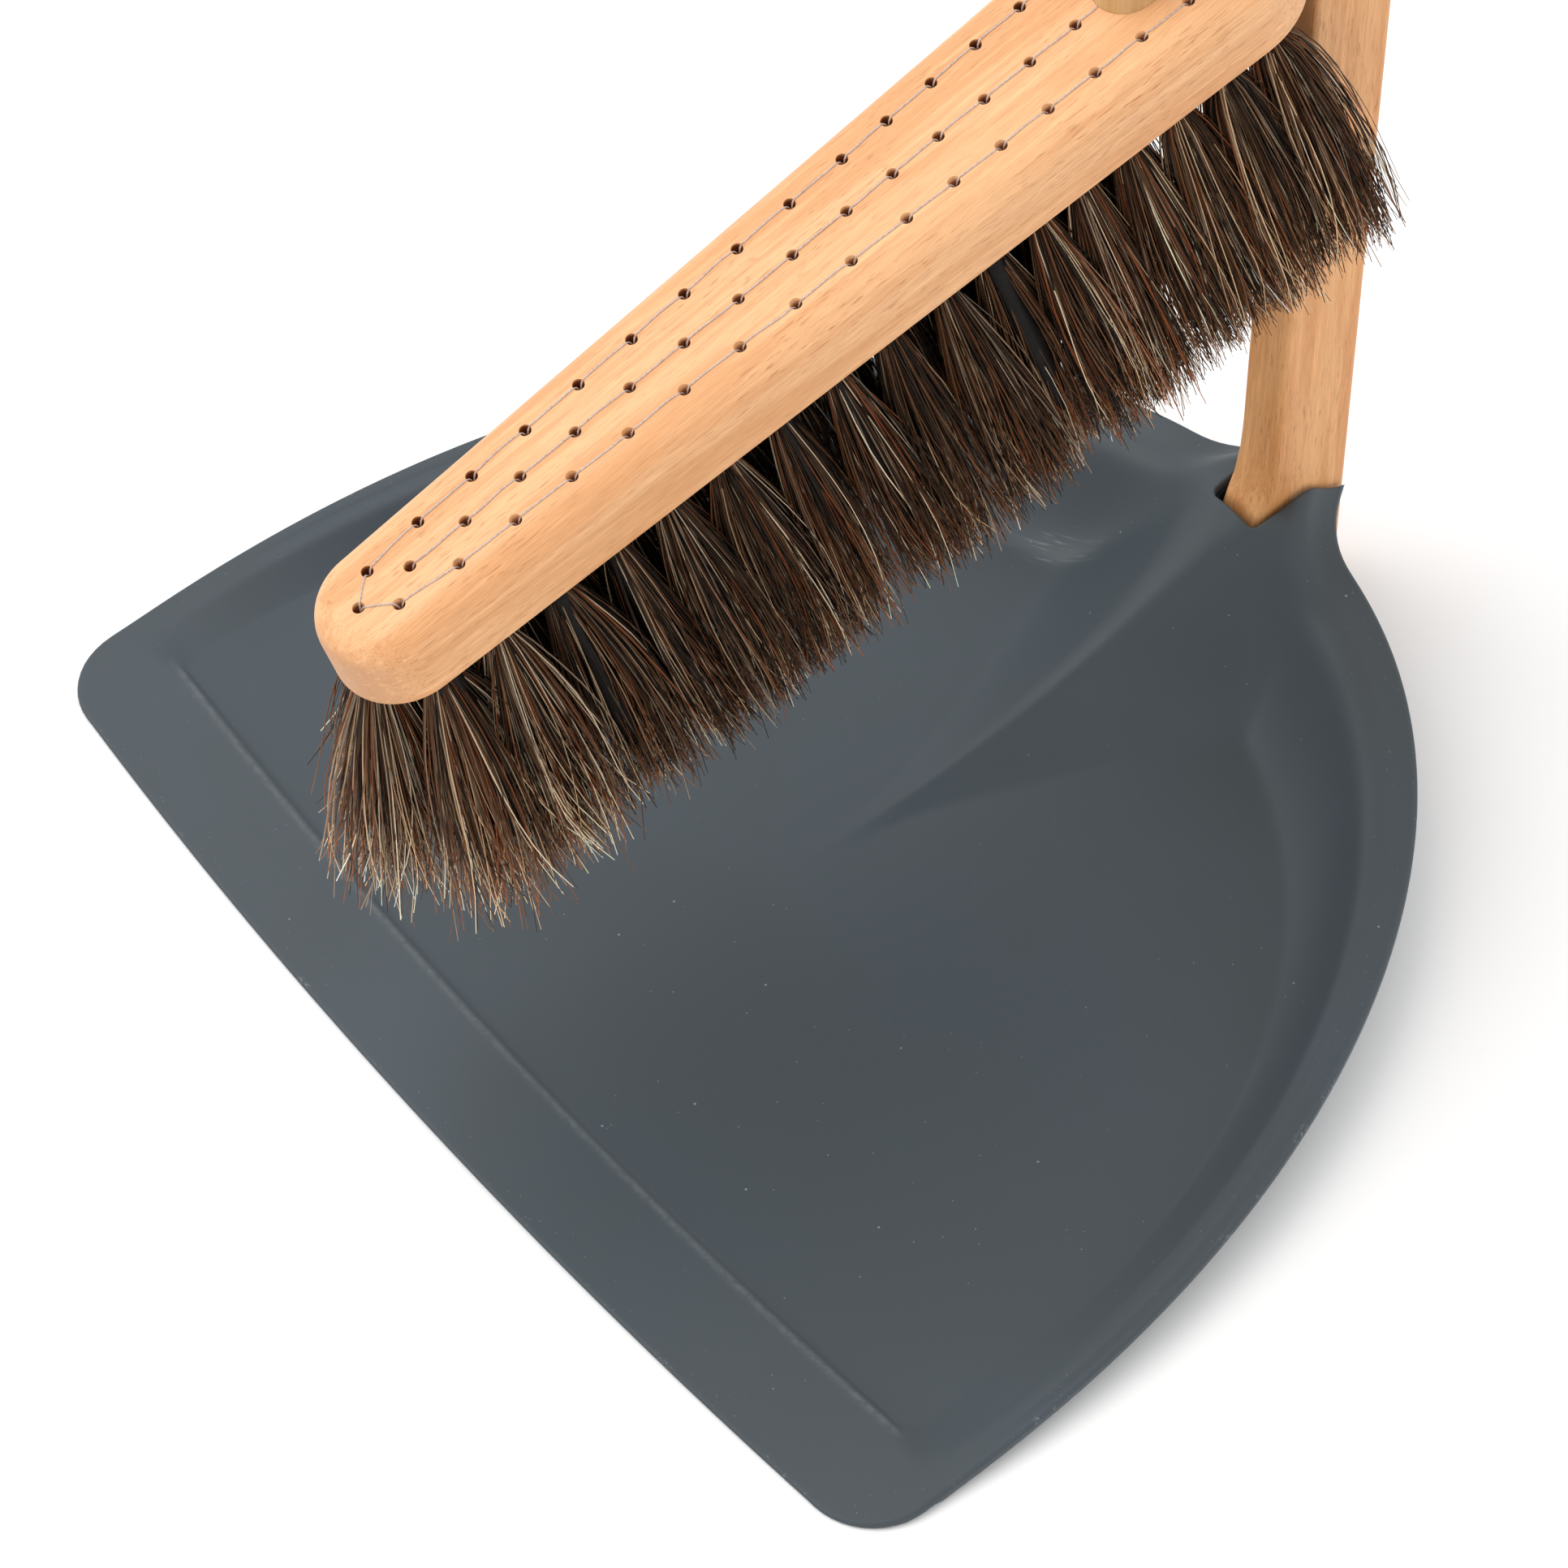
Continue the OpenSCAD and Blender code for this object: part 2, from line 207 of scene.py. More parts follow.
def shade(obj, angle=32):
    """Smooth shading with true corners, where broad flat faces keep their own normal."""
    obj.data.shade_smooth()
    limit = math.radians(angle)
    with editing(obj) as bm:
        for e in bm.edges:
            if len(e.link_faces) == 2 and e.calc_face_angle(0) > limit:
                e.smooth = False
    weighted = obj.modifiers.new("normals", "WEIGHTED_NORMAL")
    weighted.keep_sharp = True


def grain_along(obj, to_local):
    """Stores each point's place in the wood, in millimetres with the grain along the last axis."""
    local = np.asarray(to_local(places(obj)), np.float32)
    made = obj.data.attributes.new("grain", "FLOAT_VECTOR", "POINT")
    made.data.foreach_set("vector", local.ravel())


def upright(p):
    return p


def lengthwise(p):
    return p[:, [0, 2, 1]]


def crosswise(p):
    return p[:, [1, 2, 0]]


def in_block(p):
    """Places in the part's frame as (side, down from the top, along), with the grain along the block."""
    y, z = p[:, 1] - STICK_BASE[1], p[:, 2] - BLOCK_Z
    c, s = math.cos(BLOCK_TILT), math.sin(BLOCK_TILT)
    return np.stack([p[:, 0], -y * s + z * c, y * c + z * s + STICK_AT], axis=-1)


def as_piece(obj, material, body, slot, *nodes):
    obj.data.materials.clear()
    obj.data.materials.append(material)
    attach(obj, body)
    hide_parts(*nodes)


def side_faces(rings, steps):
    """The four-cornered faces between rings of steps points that follow one another."""
    return [(i + j, i + (j + 1) % steps, i + steps + (j + 1) % steps, i + steps + j)
            for i in range(0, (rings - 1) * steps, steps) for j in range(steps)]


def closed_faces(rings, steps):
    """The side faces, and one face over each end."""
    first, last = tuple(range(steps))[::-1], tuple(range((rings - 1) * steps, rings * steps))
    return [first, last] + side_faces(rings, steps)


def spun(profile, steps, at):
    """Points and faces of a closed turned shape from (radius, height) pairs that start and end at radius 0.

    at(radius, height, angle) gives each point's place.
    """
    points = [at(*profile[0], 0)] + [at(r, z, a) for r, z in profile[1:-1] for a in round_turn(steps)]
    points.append(at(*profile[-1], 0))
    last = len(points) - 1
    faces = [tuple(v + 1 for v in face) for face in side_faces(len(profile) - 2, steps)]
    for j in range(steps):
        k = (j + 1) % steps
        faces += [(0, 1 + k, 1 + j), (last, last - steps + j, last - steps + k)]
    return points, faces


def lathe(name, profile, steps=64, centre=(0, 0), wobble=None):
    """A turned shape that stands on centre. wobble, if given, works out each point's own radius."""
    def at(r, z, a):
        radius = wobble(r, z, a) if wobble else r
        return centre[0] + radius * math.cos(a), centre[1] + radius * math.sin(a), z

    obj = new_object(name, *spun(profile, steps, at))
    tidy_mesh(obj)
    return obj


def arc(centre, r, start, end, steps):
    """Points round an arc, angles in degrees."""
    return [(centre[0] + r * math.cos(math.radians(a)), centre[1] + r * math.sin(math.radians(a)))
            for a in np.linspace(start, end, steps + 1)]


def prism(name, outline, place, low, high):
    """A closed prism: place turns (u, v, height) rows into points."""
    rows = [(u, v, h) for h in (low, high) for u, v in outline]
    obj = new_object(name, place(np.array(rows, float)), closed_faces(2, len(outline)))
    tidy_mesh(obj)
    return obj


def across(rows):
    """A side view in plan distance and height, standing across the pan."""
    return plan(rows[:, [2, 0, 1]])


# ---- materials

class Look:
    """A material that is built from short calls. Colours are linear."""

    def __init__(self, name, roughness, **fixed):
        self.material = bpy.data.materials.new(name)
        self.material.use_nodes = True
        self.nodes, self.links = self.material.node_tree.nodes, self.material.node_tree.links
        self.shader = self.nodes["Principled BSDF"]
        self.fill(self.shader, Roughness=roughness, **fixed)

    def node(self, kind, **settings):
        made = self.nodes.new(kind)
        for key, value in settings.items():
            setattr(made, key, value)
        return made

    def feed(self, value, socket):
        if isinstance(value, bpy.types.NodeSocket):
            self.links.new(value, socket)
        else:
            socket.default_value = value

    def fill(self, node, **values):
        """Feeds each value into the socket that it is named after."""
        for name, value in values.items():
            self.feed(value, node.inputs[name.replace("_", " ")])

    def place(self):
        """The place on the object, in metres."""
        return self.node("ShaderNodeTexCoord").outputs["Object"]

    def place_mm(self):
        return self.stretched(self.place(), (1 / MM,) * 3)

    def stored(self, name, output="Vector"):
        return self.node("ShaderNodeAttribute", attribute_name=name).outputs[output]

    def stretched(self, vector, scale, shift=(0, 0, 0), turn_deg=0):
        """vector scaled, then turned about Z and shifted."""
        mapping = self.node("ShaderNodeMapping")
        turn = (0, 0, math.radians(turn_deg))
        self.fill(mapping, Vector=vector, Scale=scale, Rotation=turn, Location=shift)
        return mapping.outputs["Vector"]

    def noise(self, vector, scale=1.0, detail=2.0, roughness=0.5, distortion=0.0):
        made = self.node("ShaderNodeTexNoise")
        self.fill(made, Vector=vector, Scale=scale, Detail=detail)
        self.fill(made, Roughness=roughness, Distortion=distortion)
        return made.outputs["Fac"]

    def cells(self, vector, scale, output="Distance"):
        made = self.node("ShaderNodeTexVoronoi")
        self.fill(made, Vector=vector, Scale=scale)
        return made.outputs[output]

    def step(self, value, low, high, out_low=0.0, out_high=1.0):
        """A smooth step from out_low to out_high as value goes from low to high."""
        made = self.node("ShaderNodeMapRange", clamp=True, interpolation_type="SMOOTHSTEP")
        self.fill(made, Value=value, From_Min=low, From_Max=high, To_Min=out_low, To_Max=out_high)
        return made.outputs["Result"]

    def maths(self, operation, *values):
        made = self.node("ShaderNodeMath", operation=operation)
        for socket, value in zip(made.inputs, values):
            self.feed(value, socket)
        return made.outputs[0]

    def times(self, a, b):
        return self.maths("MULTIPLY", a, b)

    def most(self, a, b):
        return self.maths("MAXIMUM", a, b)

    def blend(self, a, b, share, how="MIX"):
        made = self.node("ShaderNodeMix", data_type="RGBA", blend_type=how)
        a, b = (c if isinstance(c, bpy.types.NodeSocket) else (*c, 1.0) for c in (a, b))
        self.fill(made, Factor=share, A=a, B=b)
        return made.outputs["Result"]

    def colour(self, value):
        self.fill(self.shader, Base_Color=value)

    def rough(self, value):
        self.fill(self.shader, Roughness=value)

    def bump(self, height, distance_mm, strength):
        made = self.node("ShaderNodeBump")
        self.fill(made, Height=height, Strength=strength, Distance=distance_mm * MM)
        self.fill(self.shader, Normal=made.outputs["Normal"])


HANDLE_TINT = (0.97, 0.90, 0.76)
BURNT = (0.40, 0.135, 0.045)


def wood(name, light, deep, fleck, fleck_share):
    """Fine-grained wood: slow bands, fibres and short darker flecks that all follow the stored grain.

    Stored shares choose the end grain, which is also darkened as painted shade on the block's nose, the
    handle's deeper tint and the burnt insides of the holes.
    """
    roughness = 0.5
    look = Look(name, roughness)
    place = look.stored("grain")
    end = look.stored("end", "Fac")
    along = look.maths("SUBTRACT", 1.0, look.times(end, 0.8))
    bands = look.noise(look.stretched(place, (0.13, 0.13, 0.009)), 1, 2, 0.5, 0.9)
    stripes = look.noise(look.stretched(place, (0.6, 0.6, 0.014), (3, 1, 0)), 1, 3, 0.65, 0.4)
    fibres = look.noise(look.stretched(place, (3.2, 3.2, 0.12)), 1, 2, 0.6)
    fibres = look.maths("MULTIPLY_ADD", look.maths("SUBTRACT", fibres, 0.5), along, 0.5)
    dashes = look.noise(look.stretched(place, (2.5, 2.5, 0.22), (9, 4, 2)), 1, 1, 0.5)
    where = look.noise(look.stretched(place, (0.05, 0.05, 0.02), (5, 5, 5)), 1, 1, 0.5)
    dashes = look.times(look.step(dashes, 0.6, 0.7, 0, fleck_share), look.step(where, 0.4, 0.6, 0.35, 1))
    lighter = [min(1, c * 1.15) for c in light]
    tone = look.blend(light, deep, look.most(look.step(bands, 0.40, 0.62), look.times(end, 1.3)))
    tone = look.blend(tone, deep, look.step(stripes, 0.48, 0.66, 0, 0.75))
    tone = look.blend(tone, lighter, look.step(stripes, 0.46, 0.30, 0, 0.6))
    tone = look.blend(tone, fleck, look.times(dashes, along))
    # fibre streaks, times painted shade on the block's nose where the end grain is stored
    grain_and_nose_shade = look.times(look.step(fibres, 0.3, 0.7, 0.9, 1.06), look.step(end, 0, 1, 1, 0.76))
    grey = look.node("ShaderNodeCombineColor")
    look.fill(grey, Red=grain_and_nose_shade, Green=grain_and_nose_shade, Blue=grain_and_nose_shade)
    tone = look.blend(tone, grey.outputs["Color"], 1.0, "MULTIPLY")
    tone = look.blend(tone, HANDLE_TINT, look.stored("deep", "Fac"), "MULTIPLY")
    look.colour(look.blend(tone, BURNT, look.stored("drilled", "Fac")))
    look.rough(look.step(fibres, 0.3, 0.7, roughness + 0.06, roughness - 0.05))
    look.bump(fibres, 0.05, 0.5)
    return look.material


def specks(look, place, cell_mm, radius_mm):
    """Round specks, one in about three of the cells."""
    share = 0.3
    pick = look.node("ShaderNodeSeparateColor")
    look.fill(pick, Color=look.cells(place, 1 / cell_mm, "Color"))
    chosen = look.step(pick.outputs["Red"], 1 - share, 1 - share + 0.02)
    radius = radius_mm / cell_mm
    return look.times(chosen, look.step(look.cells(place, 1 / cell_mm), 0.5 * radius, radius, 1, 0))


def pan_plastic():
    """Matt moulded plastic with dust, a scuffed place, a lighter line along the lip's crest that is painted
    highlight broken up like wear, and a worn outer edge.
    """
    look = Look("pan_plastic", 0.5, IOR=1.46)
    place = look.place_mm()
    edge, crest, scuffed = (look.stored(name, "Fac") for name in ("edge", "crest", "scuff"))
    cloud = look.noise(place, 0.012, 3, 0.5)

    dust = look.times(specks(look, place, 2.9, 0.21), look.step(cloud, 0.42, 0.6, 0.25, 1))
    dust = look.most(specks(look, place, 8, 0.36), dust)

    patchy = look.step(look.noise(place, 0.11, 3, 0.7), 0.56, 0.72)
    crumbs = look.step(look.noise(place, 1.1, 2, 0.7), 0.5, 0.62)
    worn = look.times(look.times(look.step(edge, 0.2, 1.6, 1, 0), patchy), crumbs)

    # painted highlight along the lip's crest, broken into patches like wear
    crest = look.times(crest, look.step(look.noise(place, 0.5, 3, 0.7), 0.35, 0.65, 0.35, 1))
    near_rim = look.most(crest, look.step(edge, 3, 12, 0.8, 0))
    grit = look.times(specks(look, place, 1.5, 0.17), near_rim)

    turned = look.stretched(place, (1, 1, 1), turn_deg=-SCUFF_TURN)
    streaks = look.noise(look.stretched(turned, (0.11, 1.1, 0.02)), 1, 2, 0.55, 0.3)
    scuffs = look.times(scuffed, look.step(streaks, 0.5, 0.72, 0.12, 1))

    tone = look.blend((0.047, 0.062, 0.075), (0.044, 0.057, 0.066), look.step(cloud, 0.35, 0.65))
    # the crest's lighter tone is painted highlight with some wear; the other marks are dust, worn edge, grit
    # and scuffs
    for share, limit, mark in ((dust, 0.75, (0.30, 0.32, 0.33)), (worn, 0.55, (0.33, 0.34, 0.34)),
                              (crest, 0.4, (0.16, 0.18, 0.19)), (grit, 0.6, (0.30, 0.32, 0.33)),
                              (scuffs, 0.55, (0.30, 0.33, 0.34))):
        tone = look.blend(tone, mark, look.times(share, limit))
    look.colour(tone)
    look.rough(look.step(cloud, 0.3, 0.7, 0.46, 0.55))
    look.bump(look.noise(place, 1.4, 2, 0.6), 0.03, 0.35)
    return look.material


def metal(name, tone, roughness, metallic=1.0):
    look = Look(name, roughness, Metallic=metallic)
    marks = look.noise(look.place_mm(), 1.6, 3, 0.6)
    look.colour(look.blend(tone, [c * 0.72 for c in tone], look.step(marks, 0.4, 0.7)))
    look.rough(look.step(marks, 0.3, 0.7, roughness - 0.06, roughness + 0.1))
    look.bump(marks, 0.02, 0.4)
    return look.material


def horsehair():
    """Each hair's stored colour, which holds painted shade at the roots and in the tufts' near-black cores,
    with darker patches.
    """
    look = Look("horsehair", 0.5, Specular_IOR_Level=0.14)
    patches = look.noise(look.place_mm(), 0.6, 2, 0.6)
    dark = look.step(patches, 0.5, 0.85, 0, 0.35)
    look.colour(look.blend(look.stored("hair", "Color"), (0.012, 0.009, 0.007), dark))
    look.rough(look.step(patches, 0.3, 0.7, 0.42, 0.56))
    look.bump(patches, 0.05, 0.3)
    return look.material


BEECH = wood("beech", (0.83, 0.455, 0.22), (0.73, 0.355, 0.15), (0.46, 0.18, 0.06), 0.6)
STICK_WOOD = wood("stick_wood", (0.62, 0.40, 0.185), (0.54, 0.32, 0.13), (0.41, 0.21, 0.08), 0.3)
PLASTIC = pan_plastic()
STEEL = metal("steel", (0.62, 0.62, 0.63), 0.3)
WIRE = metal("wire", (0.60, 0.48, 0.42), 0.5, 0.1)
HORSEHAIR = horsehair()


# ---- the pan

OUTLINE_STEP = 2.3
EDGE_R = 1.2
HUB = np.array([0.0, RIDGE_START - 1])  # where all rings shrink to, in plan
SCUFF_AT, SCUFF_R = (-35, 210), 7
EDGE_RINGS_MM = (0, 0.08, 0.3, 0.65, 1.2)
# shares of the way from the edge to the wall's foot, closer together at the groove and at folds
BAND_RINGS = (0.12, 0.16, 0.185, 0.205, 0.225, 0.245, 0.27, 0.31, 0.35, 0.38, 0.41, 0.44, 0.47, 0.5,
              0.54, 0.58, 0.62, 0.66, 0.7, 0.75, 0.8, 0.85, 0.89, 0.92, 0.94, 0.95, 0.965, 0.985, 1,
              1.02, 1.04, 1.06, 1.09)
FLOOR_RING_COUNT = 34
LIP_CREST = 0.95  # as a share of the lip's width
GROOVE_AT, GROOVE_HALF, GROOVE_DEEP = 0.205, 0.03, 0.4  # the first two as shares, the depth in mm


def front_curve(x):
    """The front edge in plan: its middle lies ahead of its corners."""
    return FRONT_SAG * (x / (HALF_W - CORNER_R)) ** 2


def flare(x):
    """How far the two ears reach back beyond the pan's round outline."""
    return EAR_REACH * clamp01(1 - np.abs(x) / EAR_W) ** 2.5


def side_y(x):
    """The pan's outline in plan, behind its front corners."""
    swept = (1 - clamp01(np.abs(x) / HALF_W) ** SIDE_POWER) ** (1 / SIDE_POWER)
    return SIDE_START + (PAN_D - SIDE_START) * swept + flare(x)


def pan_outline():
    """The pan's outer edge in plan, evenly spaced, from the middle of the front edge round to the right."""
    corner_x, corner_y = HALF_W - CORNER_R, FRONT_SAG + CORNER_R
    x = np.linspace(0, corner_x, 80)
    parts = [np.stack([x, front_curve(x)], 1)]
    parts.append(np.array(arc((corner_x, corner_y), CORNER_R, -84, 0, 16)))
    x = HALF_W * np.cos(np.radians(np.linspace(0.5, 84, 400))) ** (2 / SIDE_POWER)
    x = np.concatenate([x[x > EAR_W], np.linspace(EAR_W, 0, 80)])
    parts.append(np.stack([x, side_y(x)], 1))
    half = np.concatenate(parts)
    run = np.concatenate([[0], np.cumsum(np.linalg.norm(np.diff(half, axis=0), axis=1))])
    count = round(run[-1] / OUTLINE_STEP)
    at = np.linspace(0, run[-1], count + 1)
    half = np.stack([np.interp(at, run, half[:, 0]), np.interp(at, run, half[:, 1])], 1)
    return np.concatenate([half, half[-2:0:-1] * [-1, 1]])


def rim_z(y):
    """The rim rises evenly from the front corner, and more gently along the ears."""
    corner = 12
    rise = clamp01((y - corner) / (PAN_D - corner))
    return EDGE_Z + 0.4 + (RIM_H - EDGE_Z) * rise + np.maximum(0, y - PAN_D) * 0.06


def band(y):
    """How far the wall's foot lies inside the edge."""
    return BAND_SIDE + BAND_GROWTH * (np.maximum(0, y - 60) / 170) ** 2


def ridge(x, y):
    """Height above the floor of the ridge that covers the handle's foot.

    It climbs and widens towards the notch, and its crest opens there to the notch's width.
    """
    run = clamp01((y - RIDGE_START) / (RIDGE_END - RIDGE_START))
    wide = NOTCH_HALF + 1
    reach = 3 + np.maximum(0, 0.29 * (y - 135)) + wide * run**2
    off = np.sqrt(x * x + CREST_R**2) - CREST_R - wide * run**7
    r = CREST_R + 5 * run**4
    eased = r * clamp01((off + r) / (2 * r)) ** 2 + np.maximum(0, off - r)
    fall = clamp01(1 - mix(np.maximum(0, off), eased, smooth((run - 0.3) / 0.3)) / reach)
    return RIDGE_H * run**RIDGE_POWER * fall**1.3


def wall_share(f, y):
    """The wall's share of the rim's height: a flange at the rim, then a slope down to the floor."""
    rear = smooth((y - 110) / 80)
    flange, flange_low, soft = 0.4, 0.85, 0.04

    def sharp(f):
        slope = flange_low * clamp01(1 - (f - flange) / mix(0.55, 0.6, rear)) ** mix(1.1, 1.7, rear)
        return np.where(f < flange, 1 - (1 - flange_low) * f / flange, slope)

    return (sharp(f - soft) + 2 * sharp(f) + sharp(f + soft)) / 4


def lip_height(f):
    """The lip rises from the front edge to its crease, where it drops to the floor."""
    rise, drop = mix(EDGE_Z, LIP_Z, f / LIP_CREST), mix(LIP_Z, SHELL_T, smooth((f - LIP_CREST) / 0.11))
    return np.where(f < LIP_CREST, rise, drop)


def top_height(x, y, f, from_side, rim_y):
    """Height of the pan's upper face: the lip or the wall, whichever is higher, joined to the ridge.

    f and from_side are shares of the way from the edge to the wall's foot, and rim_y is the plan
    distance of the nearest place on the rim.
    """
    from_front = (y - front_curve(x)) / LIP_W
    rise = np.maximum(0, rim_z(rim_y) - SHELL_T) * wall_share(from_side, rim_y)
    base = np.maximum(lip_height(from_front), mix(EDGE_Z, SHELL_T, smooth(from_front / 0.8)) + rise)
    lift = ridge(x, y) * mix(0.64, 1, smooth(f / 0.3))
    groove = np.exp(-((from_side - GROOVE_AT) / GROOVE_HALF) ** 2)
    base = base - GROOVE_DEEP * groove * smooth((rim_y - 40) / 40) * smooth((250 - rim_y) / 20)
    joined = (np.maximum(0, base - SHELL_T) ** 4 + lift**4) ** 0.25
    return SHELL_T + np.where(base < SHELL_T, base - SHELL_T + lift, joined)


def rounding(d, r):
    """How far a rounded edge of radius r lies below the flat, at distance d from the edge."""
    inside = np.clip(r - d, 0, r)
    return r - np.sqrt(r * r - inside * inside)


def pan_grid():
    """Rings of (x, y, top, underside, distance from the edge) that step from the outline to the hub."""
    outline = pan_outline()
    x, y = outline.T
    corner = y < SIDE_START + 5
    plain = outline - np.stack([0 * x, np.where(y > RIDGE_START, flare(x), 0)], 1)
    tangent = np.roll(plain, -1, 0) - np.roll(plain, 1, 0)
    tangent[corner] = (0, 1)
    tangent = unit(tangent)
    to_hub = outline - HUB
    depth = np.abs(to_hub[:, 0] * tangent[:, 1] - to_hub[:, 1] * tangent[:, 0])
    sag, ahead, crease = front_curve(x), HUB[1] - y, HUB[1] - LIP_W
    crease_share = 1 - 2 * crease / np.maximum(1, ahead + np.sqrt(np.maximum(0, ahead**2 + 4 * sag * crease)))
    corner_share = np.maximum(crease_share, 1 - (HALF_W - BAND_SIDE) / np.maximum(1, np.abs(x)))
    foot = np.where(corner, corner_share, band(y) / np.maximum(1, depth))
    true_edge = unit(np.roll(outline, -1, 0) - np.roll(outline, 1, 0))
    true_depth = np.abs(to_hub[:, 0] * true_edge[:, 1] - to_hub[:, 1] * true_edge[:, 0])
    shares = [d / true_depth for d in EDGE_RINGS_MM] + [f * foot for f in BAND_RINGS]
    last = shares[-1]
    shares += [mix(last, 1, (k / FLOOR_RING_COUNT) ** 0.9) for k in range(1, FLOOR_RING_COUNT)]
    rings = []
    for s in shares:
        p = outline - to_hub * s[:, None]
        f = s / foot
        from_side = np.where(corner, (HALF_W - np.abs(p[:, 0])) / BAND_SIDE, f)
        rim_y = y + tangent[:, 1] * ((p - outline) * tangent).sum(1)
        top = top_height(p[:, 0], p[:, 1], f, from_side, rim_y)
        under = top - np.where(top > SHELL_T + 1, STEEP_T, SHELL_T)
        under = np.where(under < 0.05, 0, under)
        off_edge = s * true_depth
        r = np.minimum(EDGE_R, 0.45 * (top - under))
        dip = rounding(off_edge, r)
        rings.append(np.stack([p[:, 0], p[:, 1], top - dip, under + dip, off_edge], 1))
    return np.array(rings)


def smooth_rings(rings, times):
    """Softens the surface's folds inside the rim without moving the rim or the hub."""
    first = len(EDGE_RINGS_MM)
    aside = smooth((np.abs(rings[:, :, :1]) - 16) / 16)
    gap = np.linalg.norm(np.diff(rings[:, :, :2], axis=0), axis=2)[..., None]
    before, after = gap[first - 1:-1], gap[first:]
    for _ in range(times):
        z = rings[:, :, 2:4]
        soft = z.copy()
        level = (z[first - 1:-2] * after + z[first + 1:] * before) / (before + after)
        soft[first:-1] = (z[first:-1] + level) / 2
        around = (2 * soft + np.roll(soft, 1, 1) + np.roll(soft, -1, 1)) / 4
        soft[first:-1] = mix(soft, around, aside)[first:-1]
        rings[:, :, 2:4] = soft
    return rings


def off_notch(x, y):
    """Distance from the notch's rounded outline, negative inside it, for x and y in the part's frame."""
    aside, ahead = np.abs(x) - (NOTCH_HALF - NOTCH_R), NOTCH_FRONT - BASE_MIDDLE + NOTCH_R - y
    outside = np.hypot(np.maximum(0, aside), np.maximum(0, ahead))
    return outside + np.minimum(0, np.maximum(aside, ahead)) - NOTCH_R


def cut_notch(bm):
    """Opens the notch that the handle stands in, and rounds its edges."""
    r = 0.9
    reach, front = (NOTCH_HALF + 4) * MM, (NOTCH_FRONT - BASE_MIDDLE - 5) * MM

    def near():
        centres = [(f, f.calc_center_median()) for f in bm.faces]
        return [(f, c) for f, c in centres if abs(c.x) < reach and c.y > front]

    corner = np.array([NOTCH_HALF - NOTCH_R, NOTCH_FRONT - BASE_MIDDLE + NOTCH_R])
    for off in (1.4, 1.0, 0.7, 0.45, 0.22, 0.07, 0):
        for side in (-1, 1):
            for turn in np.radians([0, 22.5, 45, 67.5, 90]):
                no = Vector((side * math.cos(turn), -math.sin(turn), 0))
                co = Vector((side * corner[0], corner[1], 0)) * MM + no * (NOTCH_R + off) * MM
                faces = [f for f, _ in near()]
                geom = list({e for f in faces for e in f.edges}) + list({v for f in faces for v in f.verts})
                bmesh.ops.bisect_plane(bm, geom=geom + faces, dist=1e-7, plane_co=co, plane_no=no)
    inside = [f for f, c in near() if off_notch(c.x / MM, c.y / MM) < -0.01]
    bmesh.ops.delete(bm, geom=inside, context="FACES")
    open_edges = [e for e in bm.edges if e.is_boundary]

    def key(v):
        return round(v.co.x / MM, 3), round(v.co.y / MM, 3)

    below = {key(v): v for e in open_edges for v in e.verts if e.link_faces[0].normal.z < -0.05}
    for e in open_edges:
        if e.link_faces[0].normal.z > 0.05:
            a, b = e.verts
            if key(a) in below and key(b) in below and below[key(a)] is not below[key(b)]:
                bm.faces.new((a, b, below[key(b)], below[key(a)]))
    up = {v: v.normal.z > 0 for v in bm.verts}
    for v in bm.verts:
        off = max(0, float(off_notch(v.co.x / MM, v.co.y / MM)))
        if off < r and v.co.y > front:
            v.co.z += (-1 if up[v] else 1) * float(rounding(off, r)) * MM


def inside_shell(rings):
    """A function that gives a height just inside the shell above a place in plan."""
    x, y, top = rings.reshape(-1, 5)[:, :3].T
    return lambda at_x, at_y: top[(x - at_x) ** 2 + (y - at_y) ** 2 < 3.5**2].min() - 0.9


def add_socket_walls(bm, above):
    """The two upright walls beside the handle's foot, with their tops inside the shell."""
    inner, outer = NOTCH_HALF + 0.02, NOTCH_HALF + SOCKET_T
    for side in (-1, 1):
        rows = []
        for y in np.linspace(SOCKET_FRONT, SOCKET_BACK, 25):
            high = min(above(side * inner, y), above(side * outer, y)) - 0.4
            corners = [(inner, 0), (outer, 0), (outer, high), (inner, high)]
            rows.append([bm.verts.new((side * x * MM, (y - BASE_MIDDLE) * MM, z * MM)) for x, z in corners])
        made = [bm.faces.new(rows[0]), bm.faces.new(rows[-1][::-1])]
        for a, b in zip(rows, rows[1:]):
            made += [bm.faces.new((a[j], b[j], b[(j + 1) % 4], a[(j + 1) % 4])) for j in range(4)]
        bmesh.ops.recalc_face_normals(bm, faces=made)


def add_bosses(bm, above):
    """The two hollow bosses under the ridge that take the screws."""
    outer, inner, pilot_top, steps = 4.2, 1.95, 14.5, 32
    turn = round_turn(steps)
    for y in SCREW_YS:
        rows = []
        for r, z in ((inner, pilot_top), (inner, FOOT_Z + 0.2), (outer - 0.3, FOOT_Z + 0.2),
                     (outer, FOOT_Z + 0.5), (outer, None)):
            ring = [(px, py, above(px, py) if z is None else z)
                    for px, py in zip(r * np.cos(turn), y + r * np.sin(turn))]
            rows.append([bm.verts.new((px * MM, (py - BASE_MIDDLE) * MM, pz * MM)) for px, py, pz in ring])
        for low, top in zip(rows, rows[1:]):
            for j in range(steps):
                k = (j + 1) % steps
                bm.faces.new((low[j], top[j], top[k], low[k]))
        bm.faces.new(rows[0])
        bm.faces.new(rows[-1][::-1])


